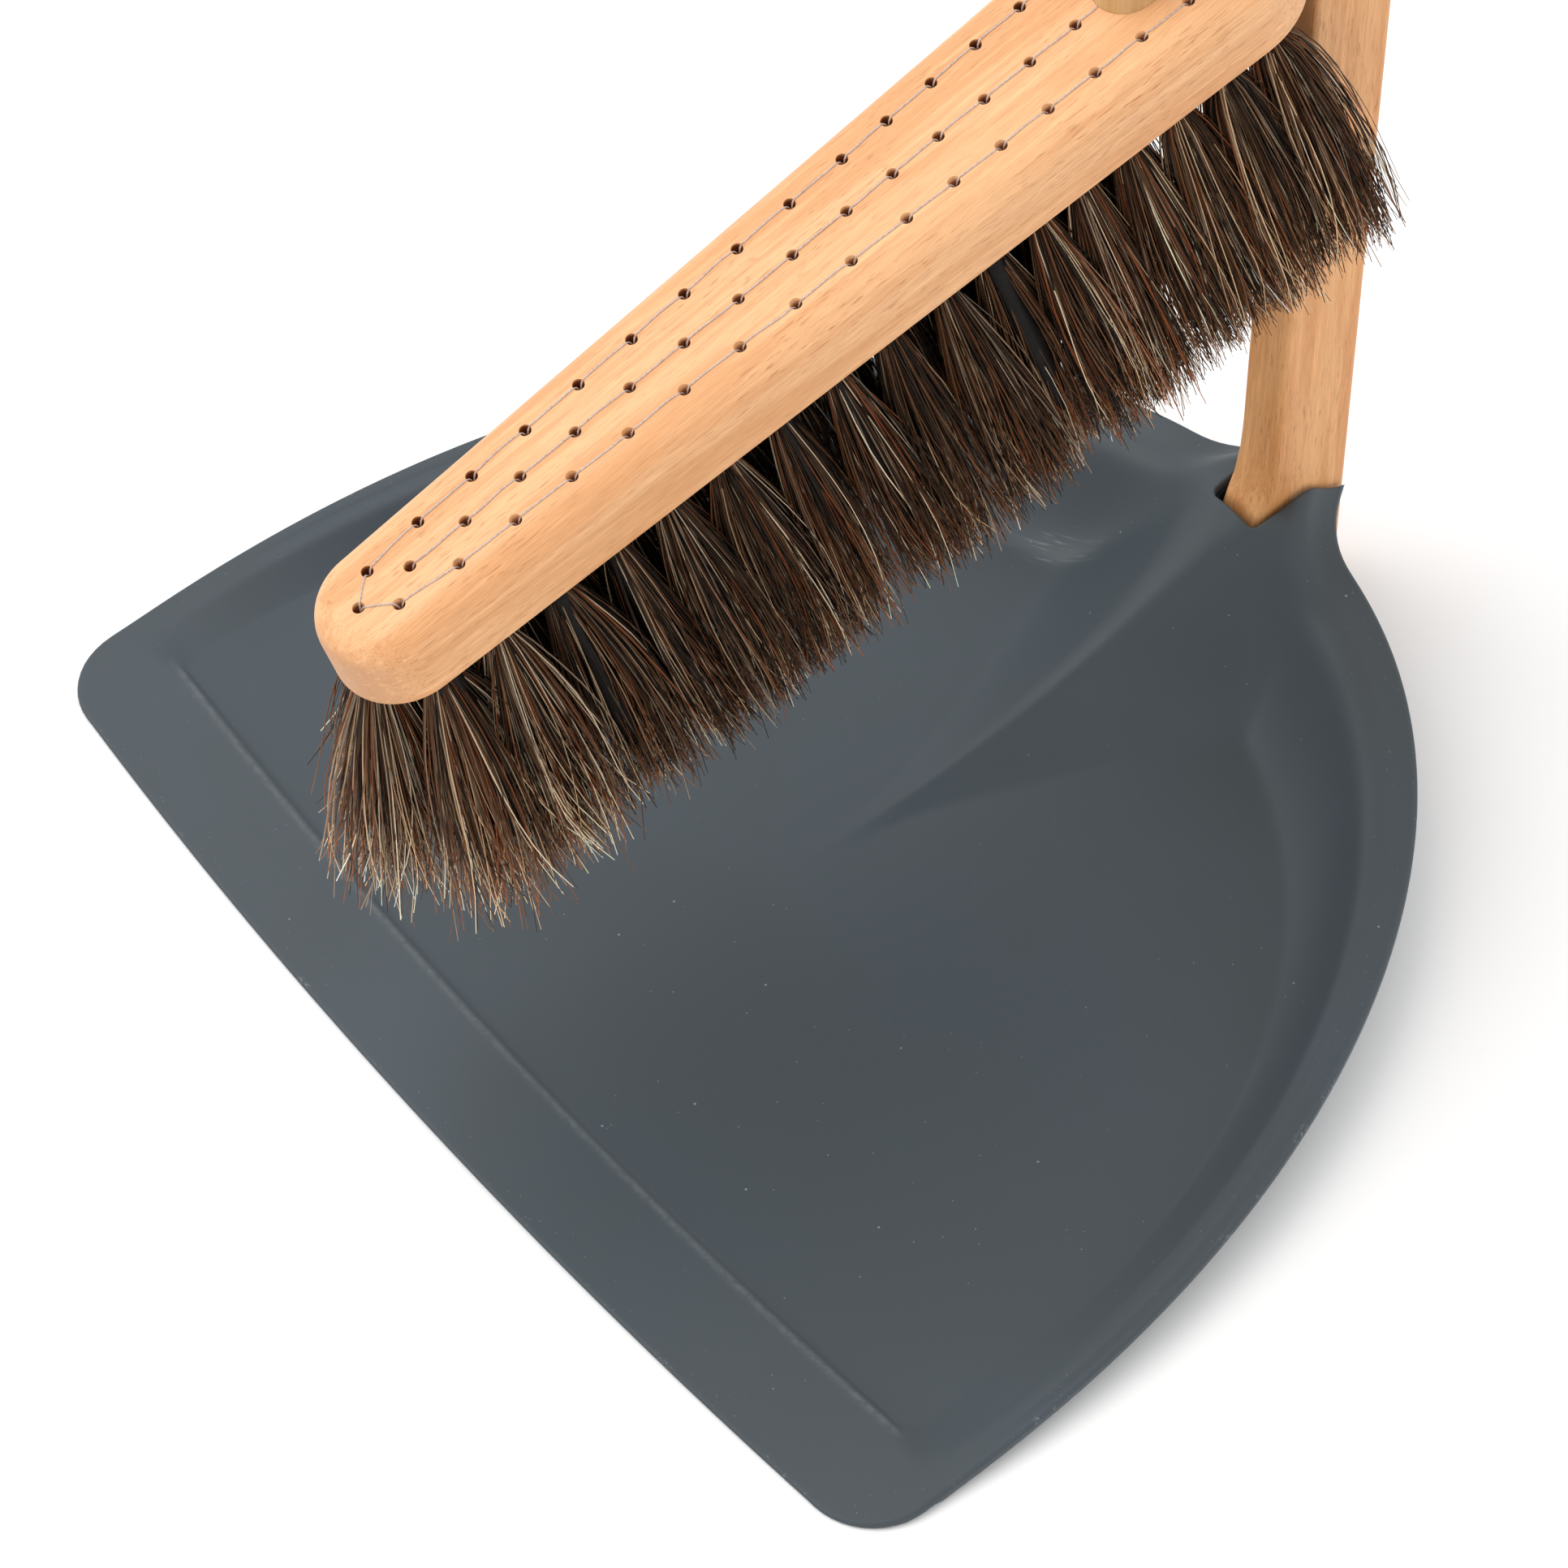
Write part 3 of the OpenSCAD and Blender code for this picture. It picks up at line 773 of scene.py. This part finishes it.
def pan_shell(rings):
    """The pan as a closed shell whose upper and lower faces meet at the outline and at the hub."""
    count, around = rings.shape[:2]
    flat = rings.reshape(-1, 5)
    upper, under = flat[:, :3], flat[:, [0, 1, 3]]
    points = plan(np.concatenate([upper, under, [[*HUB, SHELL_T], [*HUB, 0]]]))
    lower, hub = count * around, 2 * count * around
    faces = side_faces(count, around)
    faces += [tuple(lower + v for v in face[::-1]) for face in faces]
    for j in range(around):
        k = (j + 1) % around
        a, b = lower - around + j, lower - around + k
        faces += [(a, b, hub), (lower + b, lower + a, hub + 1), (lower + j, lower + k, k, j)]
    shell = new_object("pan_moulding", points, faces)
    far = 99
    store(shell, "edge", np.concatenate([flat[:, 4], flat[:, 4], [far, far]]))
    return shell


def mark_crest_sheen_and_scuff(pan):
    """Marks the lip's crest, where a painted highlight with some wear goes, and the scuffed place on the
    floor.
    """
    co = places(pan)
    from_front = (co[:, 1] + BASE_MIDDLE - front_curve(co[:, 0])) / LIP_W
    inside = smooth((HALF_W - BAND_SIDE - np.abs(co[:, 0]) + 3) / 6)
    off_crest = (from_front - LIP_CREST + 0.005) * LIP_W
    # share of the painted highlight, with some wear, along the lip's crest
    store(pan, "crest", np.exp(-(off_crest / 0.8) ** 2) * inside)
    x, y = co[:, 0] - SCUFF_AT[0], co[:, 1] - SCUFF_AT[1] + BASE_MIDDLE
    c, s = math.cos(math.radians(SCUFF_TURN)), math.sin(math.radians(SCUFF_TURN))
    along, beside = x * c + y * s, y * c - x * s
    store(pan, "scuff", np.exp(-(along / SCUFF_R) ** 2 - (beside / (0.5 * SCUFF_R)) ** 2))


def make_pan():
    rings = smooth_rings(pan_grid(), 2)
    pan, above = pan_shell(rings), inside_shell(rings)
    with editing(pan) as bm:
        bmesh.ops.recalc_face_normals(bm, faces=bm.faces)
        cut_notch(bm)
        bmesh.ops.recalc_face_normals(bm, faces=bm.faces)
        add_bosses(bm, above)
        add_socket_walls(bm, above)
    mark_crest_sheen_and_scuff(pan)
    shade(pan, 50)
    as_piece(pan, PLASTIC, PAN_BODY, "pan_plastic", "dust_pan")


# ---- the handle, its hanger and fixings

def make_handle():
    top_r = BAR_DEEP / 2
    heel = [(BAR_FRONT - ahead, z) for ahead, z in (
        (0, 56), (0.4, 47), (1.5, 40), (3.4, 34.5), (5.0, 29), (6.0, 22), (6.8, 14), (8.4, FOOT_Z))]
    toe = [(BAR_FRONT - FOOT_L, FOOT_Z), (BAR_FRONT - FOOT_L - 2, FOOT_Z - 1.5), (BAR_FRONT - FOOT_L - 2, 0)]
    outline = [(BAR_BACK, 0)] + arc((BAR_FRONT + top_r, BAR_H - top_r), top_r, 0, 180, 24) + heel + toe
    bar = prism("handle_bar", outline, across, -BAR_W / 2, BAR_W / 2)
    bevelled(bar, 2.0, 5)
    cuts = [cross_drill(HANG_R, BAR_H - HANG_DROP, BAR_W / 2, 0.9),
            cross_drill(DOWEL_R, DOWEL_Z, BAR_W / 2, 0.05)]
    for y in SCREW_YS:
        sink = [(0, -1), (5.6, -1), (5.0, 0), (2.1, 3), (2.1, FOOT_Z + 1), (0, FOOT_Z + 1)]
        cuts.append(lathe("cut", sink, 32, (0, y - BASE_MIDDLE)))
    carve(bar, *cuts)
    grain_along(bar, upright)
    store(bar, "deep", np.ones(len(bar.data.vertices)))
    shade(bar)
    as_piece(bar, BEECH, PAN_BODY, "beech", "pan_handle")


def crossing(name, profile, z):
    """A turned shape that lies across the bar, through its middle, at height z."""
    obj = lathe(name, profile, 40)
    co = places(obj)
    move_points(obj, np.stack([co[:, 2], BAR_MIDDLE - BASE_MIDDLE + co[:, 0], z + co[:, 1]], 1))
    return obj


def cross_drill(r, z, half, ease):
    """A cutter across the bar whose ends flare, so that the hole's rims are eased."""
    wall = [(r + ease + 1, half + 1), (r + ease, half), (r + 0.3 * ease, half - 0.5 * ease), (r, half - ease)]
    profile = [(0, -half - 1)] + [(w, -h) for w, h in wall] + wall[::-1] + [(0, half + 1)]
    return crossing("cut", profile, z)


def make_screws():
    """Two countersunk wood screws with star recesses and real threads, in one piece."""
    base, head_r, head_h, shank, length, pitch = 0.4, 3.8, 2.4, 1.62, 13, 1.3
    recess_r, recess_h = 1.5, 1.5

    def wobble(r, z, a):
        if r <= recess_r:
            return r * (1 + 0.13 * math.cos(6 * a))
        if z > base + head_h + 0.4 and r > 0.5:
            return r + 0.23 * math.cos(2 * math.pi * z / pitch - a)
        return r

    thread = [(shank, base + z) for z in np.arange(head_h + 0.3, length - 1.4, pitch / 8)]
    profile = ([(0, base + recess_h), (recess_r - 0.35, base + recess_h), (recess_r, base + recess_h - 0.3),
                (recess_r, base + 0.02), (recess_r + 0.25, base), (head_r - 0.25, base), (head_r, base + 0.2),
                (shank + 0.1, base + head_h)] + thread + [(0.5, base + length - 0.2), (0, base + length)])
    first, second = [lathe("handle_screw_pair", profile, 40, (0, y - BASE_MIDDLE), wobble) for y in SCREW_YS]
    with editing(first) as bm:
        bm.from_mesh(second.data)
    bpy.data.objects.remove(second)
    shade(first, 38)
    as_piece(first, STEEL, PAN_BODY, "steel", "handle_screws")


def make_fork():
    slot_r, prong_reach, back_r = STICK_D / 2 + 0.6, 13.5, 8
    prong_r = (FORK_W - 2 * slot_r) / 4
    back_wall = 7
    back, front = BAR_BACK + back_wall, STICK_Y - prong_reach
    half = FORK_W / 2
    outline = (arc((half - back_r, back - back_r), back_r, 0, 90, 10)
               + arc((-half + back_r, back - back_r), back_r, 90, 180, 10)
               + arc((-half + prong_r, front + prong_r), prong_r, 180, 360, 14)
               + arc((0, STICK_Y), slot_r, 180, 0, 24)
               + arc((half - prong_r, front + prong_r), prong_r, 180, 360, 14))
    fork = prism("hanger_fork_piece", outline, plan, FORK_TOP - FORK_T, FORK_TOP)
    bevelled(fork, 1.4, 4)
    dish = lathe("cut", ball_profile(DISH_R, BALL_Z, 24), 64, STICK_BASE)
    slack = 0.05
    left, right = -BAR_W / 2 - slack, BAR_W / 2 + slack
    near, far = BAR_FRONT - slack, BAR_BACK + slack
    corners = [(left, near), (right, near), (right, far), (left, far)]
    mortise = prism("cut", corners, plan, FORK_TOP - FORK_T - 5, FORK_TOP + 5)
    carve(fork, dish, mortise, cross_drill(DOWEL_R + slack, DOWEL_Z, half, slack))
    grain_along(fork, lengthwise)
    shade(fork)
    as_piece(fork, BEECH, PAN_BODY, "beech", "hanger_fork")


def sphere_side(r, z, start, end, steps):
    """(radius, z) pairs on a sphere, with angles from straight down."""
    return [(r * math.sin(a), z - r * math.cos(a)) for a in np.linspace(start, end, steps)]


def ball_profile(r, z, steps):
    return [(0, z - r)] + sphere_side(r, z, 0, math.pi, steps + 2)[1:-1] + [(0, z + r)]


def make_dowel():
    r, end = DOWEL_R - 0.02, FORK_W / 2 - 0.02
    tip = [(0, end), (r - 0.7, end), (r - 0.25, end - 0.12), (r, end - 0.45)]
    dowel = crossing("hanger_dowel_piece", [(w, -h) for w, h in tip] + tip[::-1], DOWEL_Z)
    grain_along(dowel, crosswise)
    shade(dowel)
    as_piece(dowel, STICK_WOOD, PAN_BODY, "stick_wood", "hanger_dowel")


def make_stick():
    r, low, high = STICK_D / 2, BLOCK_Z - STICK_SUNK + 0.1, BALL_Z + 4
    profile = [(0, low), (r - 0.8, low), (r, low + 0.8), (r, low + 20)]
    profile += [(r, z) for z in np.linspace(low + 40, high - 30, 12)]
    profile += [(r, high - 0.8), (r - 0.8, high), (0, high)]
    stick = lathe("broom_stick_piece", profile, 72, STICK_BASE)
    grain_along(stick, upright)
    shade(stick)
    as_piece(stick, STICK_WOOD, BRUSH_BODY, "stick_wood", "broom_stick")


def make_ball():
    """A turned ball with a flat at the top and a blind socket for the stick."""
    socket_r, socket_end, flat_r = STICK_D / 2 + 0.05, BALL_Z + 4.1, 3.5
    mouth = math.asin((socket_r + 0.9) / BALL_R)
    crown = math.asin(flat_r / BALL_R)
    skin = sphere_side(BALL_R, BALL_Z, mouth, math.pi - crown, 30)
    low, high = skin[0][1], skin[-1][1]
    socket = [(0, socket_end), (socket_r, socket_end), (socket_r, low + 0.9), (socket_r + 0.25, low + 0.25)]
    profile = socket + skin + [(flat_r - 0.8, high + 0.08), (0, high + 0.1)]
    ball = lathe("hanging_ball_piece", profile, 72, STICK_BASE)
    grain_along(ball, upright)
    shade(ball)
    as_piece(ball, BEECH, BRUSH_BODY, "beech", "hanging_ball")


# ---- the brush

def station(first, wide, i):
    """How far along the block hole i of a row lies: the first gaps are wider than the others."""
    return first + 14.1 * min(i, wide) + 12.1 * max(i - wide, 0)


def outer_y(i):
    return station(16, 9, i)


def outer_x(i):
    return 5.4 if i == 0 else 6 + 0.031 * outer_y(i)


def centre_y(i):
    return station(22.8, 8, i)


FRONT_HOLE_Y = 9.7
OUTER_COUNT, CENTRE_COUNT = 17, 14


def tufts():
    """(node name, hole on top of the block, direction of the hair) for every tuft, in the brush's frame."""
    yield "tuft_front", (0, FRONT_HOLE_Y, 0), (0, -math.sin(FRONT_LEAN), -math.cos(FRONT_LEAN))
    for side, row in ((-1, "left"), (1, "right")):
        for i in range(OUTER_COUNT):
            yield (f"tuft_{row}_{i + 1:02d}", (side * outer_x(i), outer_y(i), 0),
                   (side * math.sin(HAIR_LEAN), 0, -math.cos(HAIR_LEAN)))
    for i in range(CENTRE_COUNT):
        yield f"tuft_centre_{i + 1:02d}", (0, centre_y(i), 0), (0, 0, -1)


def block_outline(n):
    """The block's outline in plan with its outward normals: two circles joined by their tangents."""
    a = np.array([0, NOSE_R])
    b = np.array([0, BLOCK_L - TAIL_R])
    turn = math.asin((TAIL_R - NOSE_R) / (b[1] - a[1]))
    nose = np.linspace(-math.pi + turn, -turn, n)
    tail = np.linspace(-turn, math.pi + turn, n)
    points, normals = [], []
    for centre, r, angles in ((a, NOSE_R, nose), (b, TAIL_R, tail)):
        for t in angles:
            normal = np.array([math.cos(t), math.sin(t)])
            points.append(centre + r * normal)
            normals.append(normal)
    return np.array(points), np.array(normals)


def make_block():
    """The drilled block: its outline inset a little at the lower edge and far round at the upper edge."""
    points, normals = block_outline(49)
    low_r, quarter = 1.5, math.pi / 2
    profile = [(low_r * (1 - math.sin(t)), low_r * (1 - math.cos(t)) - BLOCK_T)
               for t in np.linspace(0, quarter, 5)]
    profile += [(0, -13), (0, -BLOCK_ROUND)]
    profile += [(BLOCK_ROUND * (1 - math.cos(t)), BLOCK_ROUND * (math.sin(t) - 1))
                for t in np.linspace(0, quarter, 13)[1:]]
    n = len(points)
    rows = [np.column_stack([points - normals * inset, np.full(n, z)]) for inset, z in profile]
    block = new_object("block", from_brush(np.concatenate(rows)), closed_faces(len(rows), n))
    tidy_mesh(block)
    drill_points, drill_faces = [], []
    for _, hole, direction in tufts():
        add_drill(drill_points, drill_faces, hole, direction)
    drill = new_object("cut", from_brush(np.array(drill_points)), drill_faces)
    tidy_mesh(drill)
    r = STICK_D / 2 + 0.05
    low, high = BLOCK_Z - STICK_SUNK, BLOCK_Z + 30
    socket = lathe("cut", [(0, low), (r, low), (r, high), (0, high)], 64, STICK_BASE)
    carve(block, drill, socket)
    grain_along(block, in_block)
    mark_block(block)
    shade(block)
    as_piece(block, BEECH, BRUSH_BODY, "beech", "brush_block")


def mark_block(block):
    """Marks the burnt wood inside the drilled holes, and the end grain round the nose, which the wood also
    darkens as painted shade.
    """
    place = in_block(places(block))[:, [0, 2, 1]]
    marked = np.zeros(len(place))
    for _, hole, direction in tufts():
        axis = unit(direction)
        away = place - np.array(hole)
        down = away @ axis
        off = np.linalg.norm(away - down[:, None] * axis, axis=1)
        marked[(off < HOLE_R + 0.12) & (place[:, 2] < -0.7)] = 1
    store(block, "drilled", marked)
    # end grain round the nose, also the share of painted shade there
    store(block, "end", clamp01(1 - place[:, 1] / NOSE_R) ** 1.5 * smooth(-place[:, 2] / BLOCK_ROUND))


def add_drill(points, faces, hole, direction):
    """Adds a cutter for one hole: narrow from the top, wide from below, with eased mouths."""
    axis = unit(direction)
    side = unit(np.cross(axis, [0, 1, 0]))
    other = np.cross(axis, side)
    wide, beyond = ROOT_R + 0.05, BLOCK_T + 6
    profile = [(0, -3), (HOLE_R + 0.5, -3), (HOLE_R + 0.15, -0.15), (HOLE_R + 0.04, 0.1), (HOLE_R, 0.4),
               (HOLE_R, 1.3), (HOLE_R, 7.2), (wide, 7.6), (wide, beyond), (0, beyond)]

    def at(r, down, a):
        return np.array(hole) + axis * down + (side * math.cos(a) + other * math.sin(a)) * r

    made, sides = spun(profile, 20, at)
    faces += [tuple(v + len(points) for v in face) for face in sides]
    points += made


def tubes(paths, radii, sides):
    """Closed tubes along paths (tube, ring, 3) with radii (tube, ring), each ending in a point.

    Returns the points, the faces and how many points each tube has.
    """
    count, rings = paths.shape[:2]
    along = unit(np.gradient(paths, axis=1))
    aside = unit(np.cross(along, np.where(np.abs(along[..., 1:2]) > 0.9, [1.0, 0, 0], [0, 1.0, 0])))
    other = np.cross(along, aside)
    turn = round_turn(sides)[:, None]
    circle = aside[:, :, None] * np.cos(turn) + other[:, :, None] * np.sin(turn)
    skin = paths[:, :, None] + circle * radii[:, :, None, None]
    tips = paths[:, -1:] + along[:, -1:] * radii[:, -1:, None] * 2
    points = np.concatenate([skin.reshape(count, -1, 3), tips], axis=1)
    each = points.shape[1]
    j = np.arange(sides)
    k = (j + 1) % sides
    quads = np.array(side_faces(rings, sides))
    tip = np.stack([(rings - 1) * sides + j, (rings - 1) * sides + k, np.full(sides, each - 1)], 1)
    faces = []
    for start in range(0, count * each, each):
        faces += (quads + start).tolist() + (tip + start).tolist() + [(j[::-1] + start).tolist()]
    return points.reshape(-1, 3), faces, each


def make_wires():
    """Thin wire that runs over the block from hole to hole and dips into each."""
    r, dip, dip_length = 0.21, 2.4, 1.3
    right = [(outer_x(i), outer_y(i)) for i in range(OUTER_COUNT)]
    outer = [(-x, y) for x, y in right[::-1]] + [(0, FRONT_HOLE_Y)] + right
    centre = [(0, centre_y(i)) for i in range(CENTRE_COUNT)]
    stick_front = (0, STICK_AT - STICK_D / 2 / math.cos(BLOCK_TILT) - 0.4)
    for name, holes, end in (("draw_wire_outer", outer, None), ("draw_wire_centre", centre, stick_front)):
        stretches = list(zip(holes, holes[1:]))
        paths = []
        for a, b in stretches + ([(holes[-1], end)] if end else []):
            dips_twice = b != end
            a, b = np.array(a), np.array(b)
            length = np.linalg.norm(b - a)
            ahead = (b - a) / length
            aside = np.array([-ahead[1], ahead[0]])
            t = np.linspace(0, 1, 21)
            from_hole = (np.minimum(t, 1 - t) if dips_twice else t) * length
            rise = smooth(from_hole / dip_length) ** 0.5
            height = np.where(from_hole < dip_length, (dip - 0.1 + r) * rise - dip, r - 0.1)
            sway = rng.normal(0, 0.16) * np.sin(math.pi * t) + rng.normal(0, 0.11) * np.sin(2 * math.pi * t)
            row = a + (b - a) * t[:, None] + aside * sway[:, None]
            paths.append(np.column_stack([row, height]))
        paths = np.array(paths)
        points, faces, _ = tubes(paths, np.full(paths.shape[:2], r), 8)
        wire = new_object(name.replace("draw", "drawn"), from_brush(points), faces)
        wire.data.shade_smooth()
        as_piece(wire, WIRE, BRUSH_BODY, "wire", name)


HAIRS, MORE_AT_NOSE = 420, 200
HAIR_RINGS = 9
HAIR_TONES = np.array([
    (0.016, 0.010, 0.007), (0.036, 0.021, 0.013), (0.078, 0.041, 0.022), (0.140, 0.068, 0.032),
    (0.175, 0.058, 0.022), (0.190, 0.150, 0.115), (0.420, 0.320, 0.215), (0.700, 0.610, 0.480)])
HAIR_SHARES = np.array([0.20, 0.18, 0.17, 0.14, 0.12, 0.08, 0.07, 0.04])
NOSE_SHARES = np.array([0.07, 0.10, 0.14, 0.17, 0.14, 0.12, 0.14, 0.12])
WARM = np.array([1.10, 0.98, 0.86])
# near-black painted shade for the dark inner tubes of the tufts
SHADE_CORE_TONE = (0.004, 0.0026, 0.0018)


def shade_core(spread, lean, length):
    """Painted shade inside a tuft, a near-black stand-in for its shadowed depth: points (side, ahead, down)
    and faces of an uneven closed tube.
    """
    steps = 18
    levels = ((0.0, 0.22), (0.1, 0.24), (0.3, 0.27), (0.5, 0.30), (0.64, 0.29), (0.76, 0.22), (0.84, 0.12))
    turn = round_turn(steps)
    rows = []
    for t, share in levels:
        ragged = share * (1 + rng.uniform(-0.12, 0.12, steps))
        side, ahead = np.cos(turn) * ragged * spread[0], np.sin(turn) * ragged * spread[1] + lean * t**1.6
        rows.append(np.stack([side, ahead, np.full(steps, t * length)], 1))
    return np.concatenate(rows), closed_faces(len(levels), steps)


def in_disc(angle, radius):
    return np.stack([np.cos(angle), np.sin(angle)], 1) * radius[:, None]


def hair_lines(n, spread, to_nose, to_tail):
    """Each hair's (side, ahead) offsets from the tuft's middle at every ring, and its length.

    Hairs gather in locks, fan out with a bow of their own, and end in a small hook.
    """
    locks = 11
    lock = rng.integers(0, locks, n)
    lock_xy = in_disc(rng.uniform(0, 2 * math.pi, locks), np.sqrt((np.arange(locks) + 0.5) / locks))[lock]
    own_xy = in_disc(rng.uniform(0, 2 * math.pi, n), np.sqrt(rng.uniform(0, 1, n)))
    root_xy = (0.6 * lock_xy + 0.45 * own_xy) * (ROOT_R - 0.25)
    tip_xy = (0.72 * lock_xy + 0.4 * own_xy + rng.normal(0, 0.13, (n, 2))) * spread
    length = HAIR_L + 2 + rng.normal(0, 1.6 + 1.2 * to_nose, n)
    strays = rng.uniform(0, 1, n) < 0.035 + 0.05 * to_nose
    tip_xy[strays] *= 1.25
    length[strays] -= rng.uniform(0, 9, strays.sum())
    t = np.linspace(0, 1, HAIR_RINGS)[None, :, None]
    once, twice = np.sin(math.pi * t), np.sin(2 * math.pi * t)
    bow = rng.normal(0, 1.6, (n, 1, 2)) * once + rng.normal(0, 0.8, (n, 1, 2)) * twice
    hook = np.clip(rng.normal(0, 1, (n, 1, 2)), -1.6, 1.6) * (2.0 + 2.4 * to_nose) * t**4
    lock_bow = rng.normal(0, 1.2, (locks, 1, 2))[lock] * once
    fan = t ** mix(0.88, 0.55, to_tail) + 0.1 * once
    return root_xy[:, None] * (1 - t) + tip_xy[:, None] * fan + bow * t + lock_bow + hook, length


def hair_colours(n, along, to_nose):
    """Each hair's tone at every ring: darker at the root as painted shade under the block, lighter towards
    the tip, and lighter towards the rear.
    """
    shares = mix(HAIR_SHARES, NOSE_SHARES, to_nose)
    tone = HAIR_TONES[rng.choice(len(HAIR_TONES), n, p=shares / shares.sum())]
    tone = tone * rng.uniform(0.75, 1.3, (n, 1))
    level = np.append(np.repeat(np.linspace(0, 1, HAIR_RINGS), 3), 1.0)
    # painted shade darkens the roots under the block; the tips get lighter
    root_shade_and_light_tips = mix(0.70, 0.87, smooth(level / 0.4)) + level**4 * (0.72 + 0.6 * to_nose)
    root_shade_and_light_tips *= 1 + 0.45 * smooth((along - 60) / 120)
    return clamp01(tone[:, None] * root_shade_and_light_tips[None, :, None] * WARM)


def make_tuft(name, hole, direction):
    """One drawn tuft, whose hairs fan out from the hole and end at a roughly trimmed face."""
    hole, axis = np.array(hole, float), unit(direction)
    side = unit(np.cross(axis, [0, 1.0, 0]))
    ahead = np.cross(side, axis)
    ahead *= np.sign(ahead[1])
    to_nose, to_tail = 1 - clamp01((hole[1] - 8) / 45), smooth((hole[1] - 175) / 40)
    n = HAIRS + round(MORE_AT_NOSE * float(to_nose))
    spread = np.array([8.6 + 6 * to_nose**2, 10.4 + 5 * to_nose + 1.5 * to_tail])
    lean = -3 if name == "tuft_front" else -7.5 * to_nose**0.7
    start = BLOCK_T - 1.5

    xy, length = hair_lines(n, spread, to_nose, to_tail)
    t = np.linspace(0, 1, HAIR_RINGS)
    inward = -4 * to_nose**4 * np.sign(hole[0]) * np.sign(side[0]) * t**1.6
    paths = (hole + axis * (start + t * (length[:, None] + 1.5))[..., None]
             + side * (xy[..., 0] + inward)[..., None]
             + ahead * (xy[..., 1] + lean * t**1.6)[..., None])
    radii = rng.uniform(0.15, 0.26, (n, 1)) * (1 - 0.55 * t**1.5)
    points, faces, each = tubes(paths, radii, 3)

    # the near-black cores are painted shade for the tufts' shadowed depth; those of the middle and left rows
    # are wider, so that no light shows between the tufts
    wider = 0.55 * smooth((hole[1] - 60) / 60) * (hole[0] <= 0)
    inner, inner_faces = shade_core(spread * (1 + wider), lean, HAIR_L + 1.5)
    inner = hole + axis * (start + inner[:, 2:]) + side * inner[:, :1] + ahead * inner[:, 1:2]
    faces += [[v + len(points) for v in face] for face in inner_faces]
    points = np.concatenate([points, inner])

    hair = new_object(name.replace("tuft", "hair"), from_brush(points), faces)
    rgba = np.ones((len(points), 4), np.float32)
    # the inner tube's points get the near-black painted shade, the hairs their own colours
    rgba[:, :3] = SHADE_CORE_TONE
    rgba[:n * each, :3] = hair_colours(n, hole[1], to_nose).reshape(-1, 3)
    hair.data.attributes.new("hair", "FLOAT_COLOR", "POINT").data.foreach_set("color", rgba.ravel())
    hair.data.shade_smooth()
    as_piece(hair, HORSEHAIR, BRUSH_BODY, "horsehair", name)


# ---- camera, light and floor

# The camera looks at TARGET from FAR metres away, TURN degrees from the front towards +X and UP degrees
# above the ground.
TARGET = Vector((-0.02164, 0.01916, 0.0))
TURN, UP, FAR = 52.06, 51.02, 1.45013
LENS_MM, SENSOR_MM = 148.1, 36


def make_camera(scene):
    turn, up = math.radians(TURN), math.radians(UP)
    back = Vector((math.sin(turn) * math.cos(up), -math.cos(turn) * math.cos(up), math.sin(up)))
    camera = bpy.data.objects.new("camera", bpy.data.cameras.new("camera"))
    scene.collection.objects.link(camera)
    camera.data.sensor_width, camera.data.lens = SENSOR_MM, LENS_MM
    camera.data.clip_start, camera.data.clip_end = 0.05, 50
    camera.location = TARGET + back * FAR
    camera.rotation_euler = (-back).to_track_quat("-Z", "Y").to_euler()
    scene.camera = camera


def make_floor(scene):
    bm = bmesh.new()
    bmesh.ops.create_grid(bm, x_segments=8, y_segments=8, size=4.0)
    mesh = bpy.data.meshes.new("floor")
    bm.to_mesh(mesh)
    bm.free()
    floor = bpy.data.objects.new("floor", mesh)
    scene.collection.objects.link(floor)
    look = Look("floor", 0.85, Specular_IOR_Level=0.1)
    look.colour(look.blend((0.95, 0.95, 0.95), (0.93, 0.93, 0.93), look.noise(look.place(), 3, 2)))
    mesh.materials.append(look.material)


def make_light(scene):
    """An even white surround, and one broad lamp from the upper left."""
    world = bpy.data.worlds.new("studio")
    world.use_nodes = True
    surround = world.node_tree.nodes["Background"]
    surround.inputs["Color"].default_value = (1, 1, 1, 1)
    surround.inputs["Strength"].default_value = 1.03
    scene.world = world

    data = bpy.data.lights.new("key", "AREA")
    data.energy, data.size, data.color = 29, 2.3, (1.0, 0.99, 0.97)
    lamp = bpy.data.objects.new("key", data)
    scene.collection.objects.link(lamp)
    lamp.location = (-0.95, -0.85, 2.2)
    aim = Vector((0, 0, 0.1)) - lamp.location
    lamp.rotation_euler = aim.to_track_quat("-Z", "Y").to_euler()
    scene.view_settings.view_transform = "Standard"


make_pan()
make_handle()
make_screws()
make_fork()
make_dowel()
make_block()
make_stick()
make_ball()
make_wires()
for tuft in tufts():
    make_tuft(*tuft)

make_camera(bpy.context.scene)
make_floor(bpy.context.scene)
make_light(bpy.context.scene)
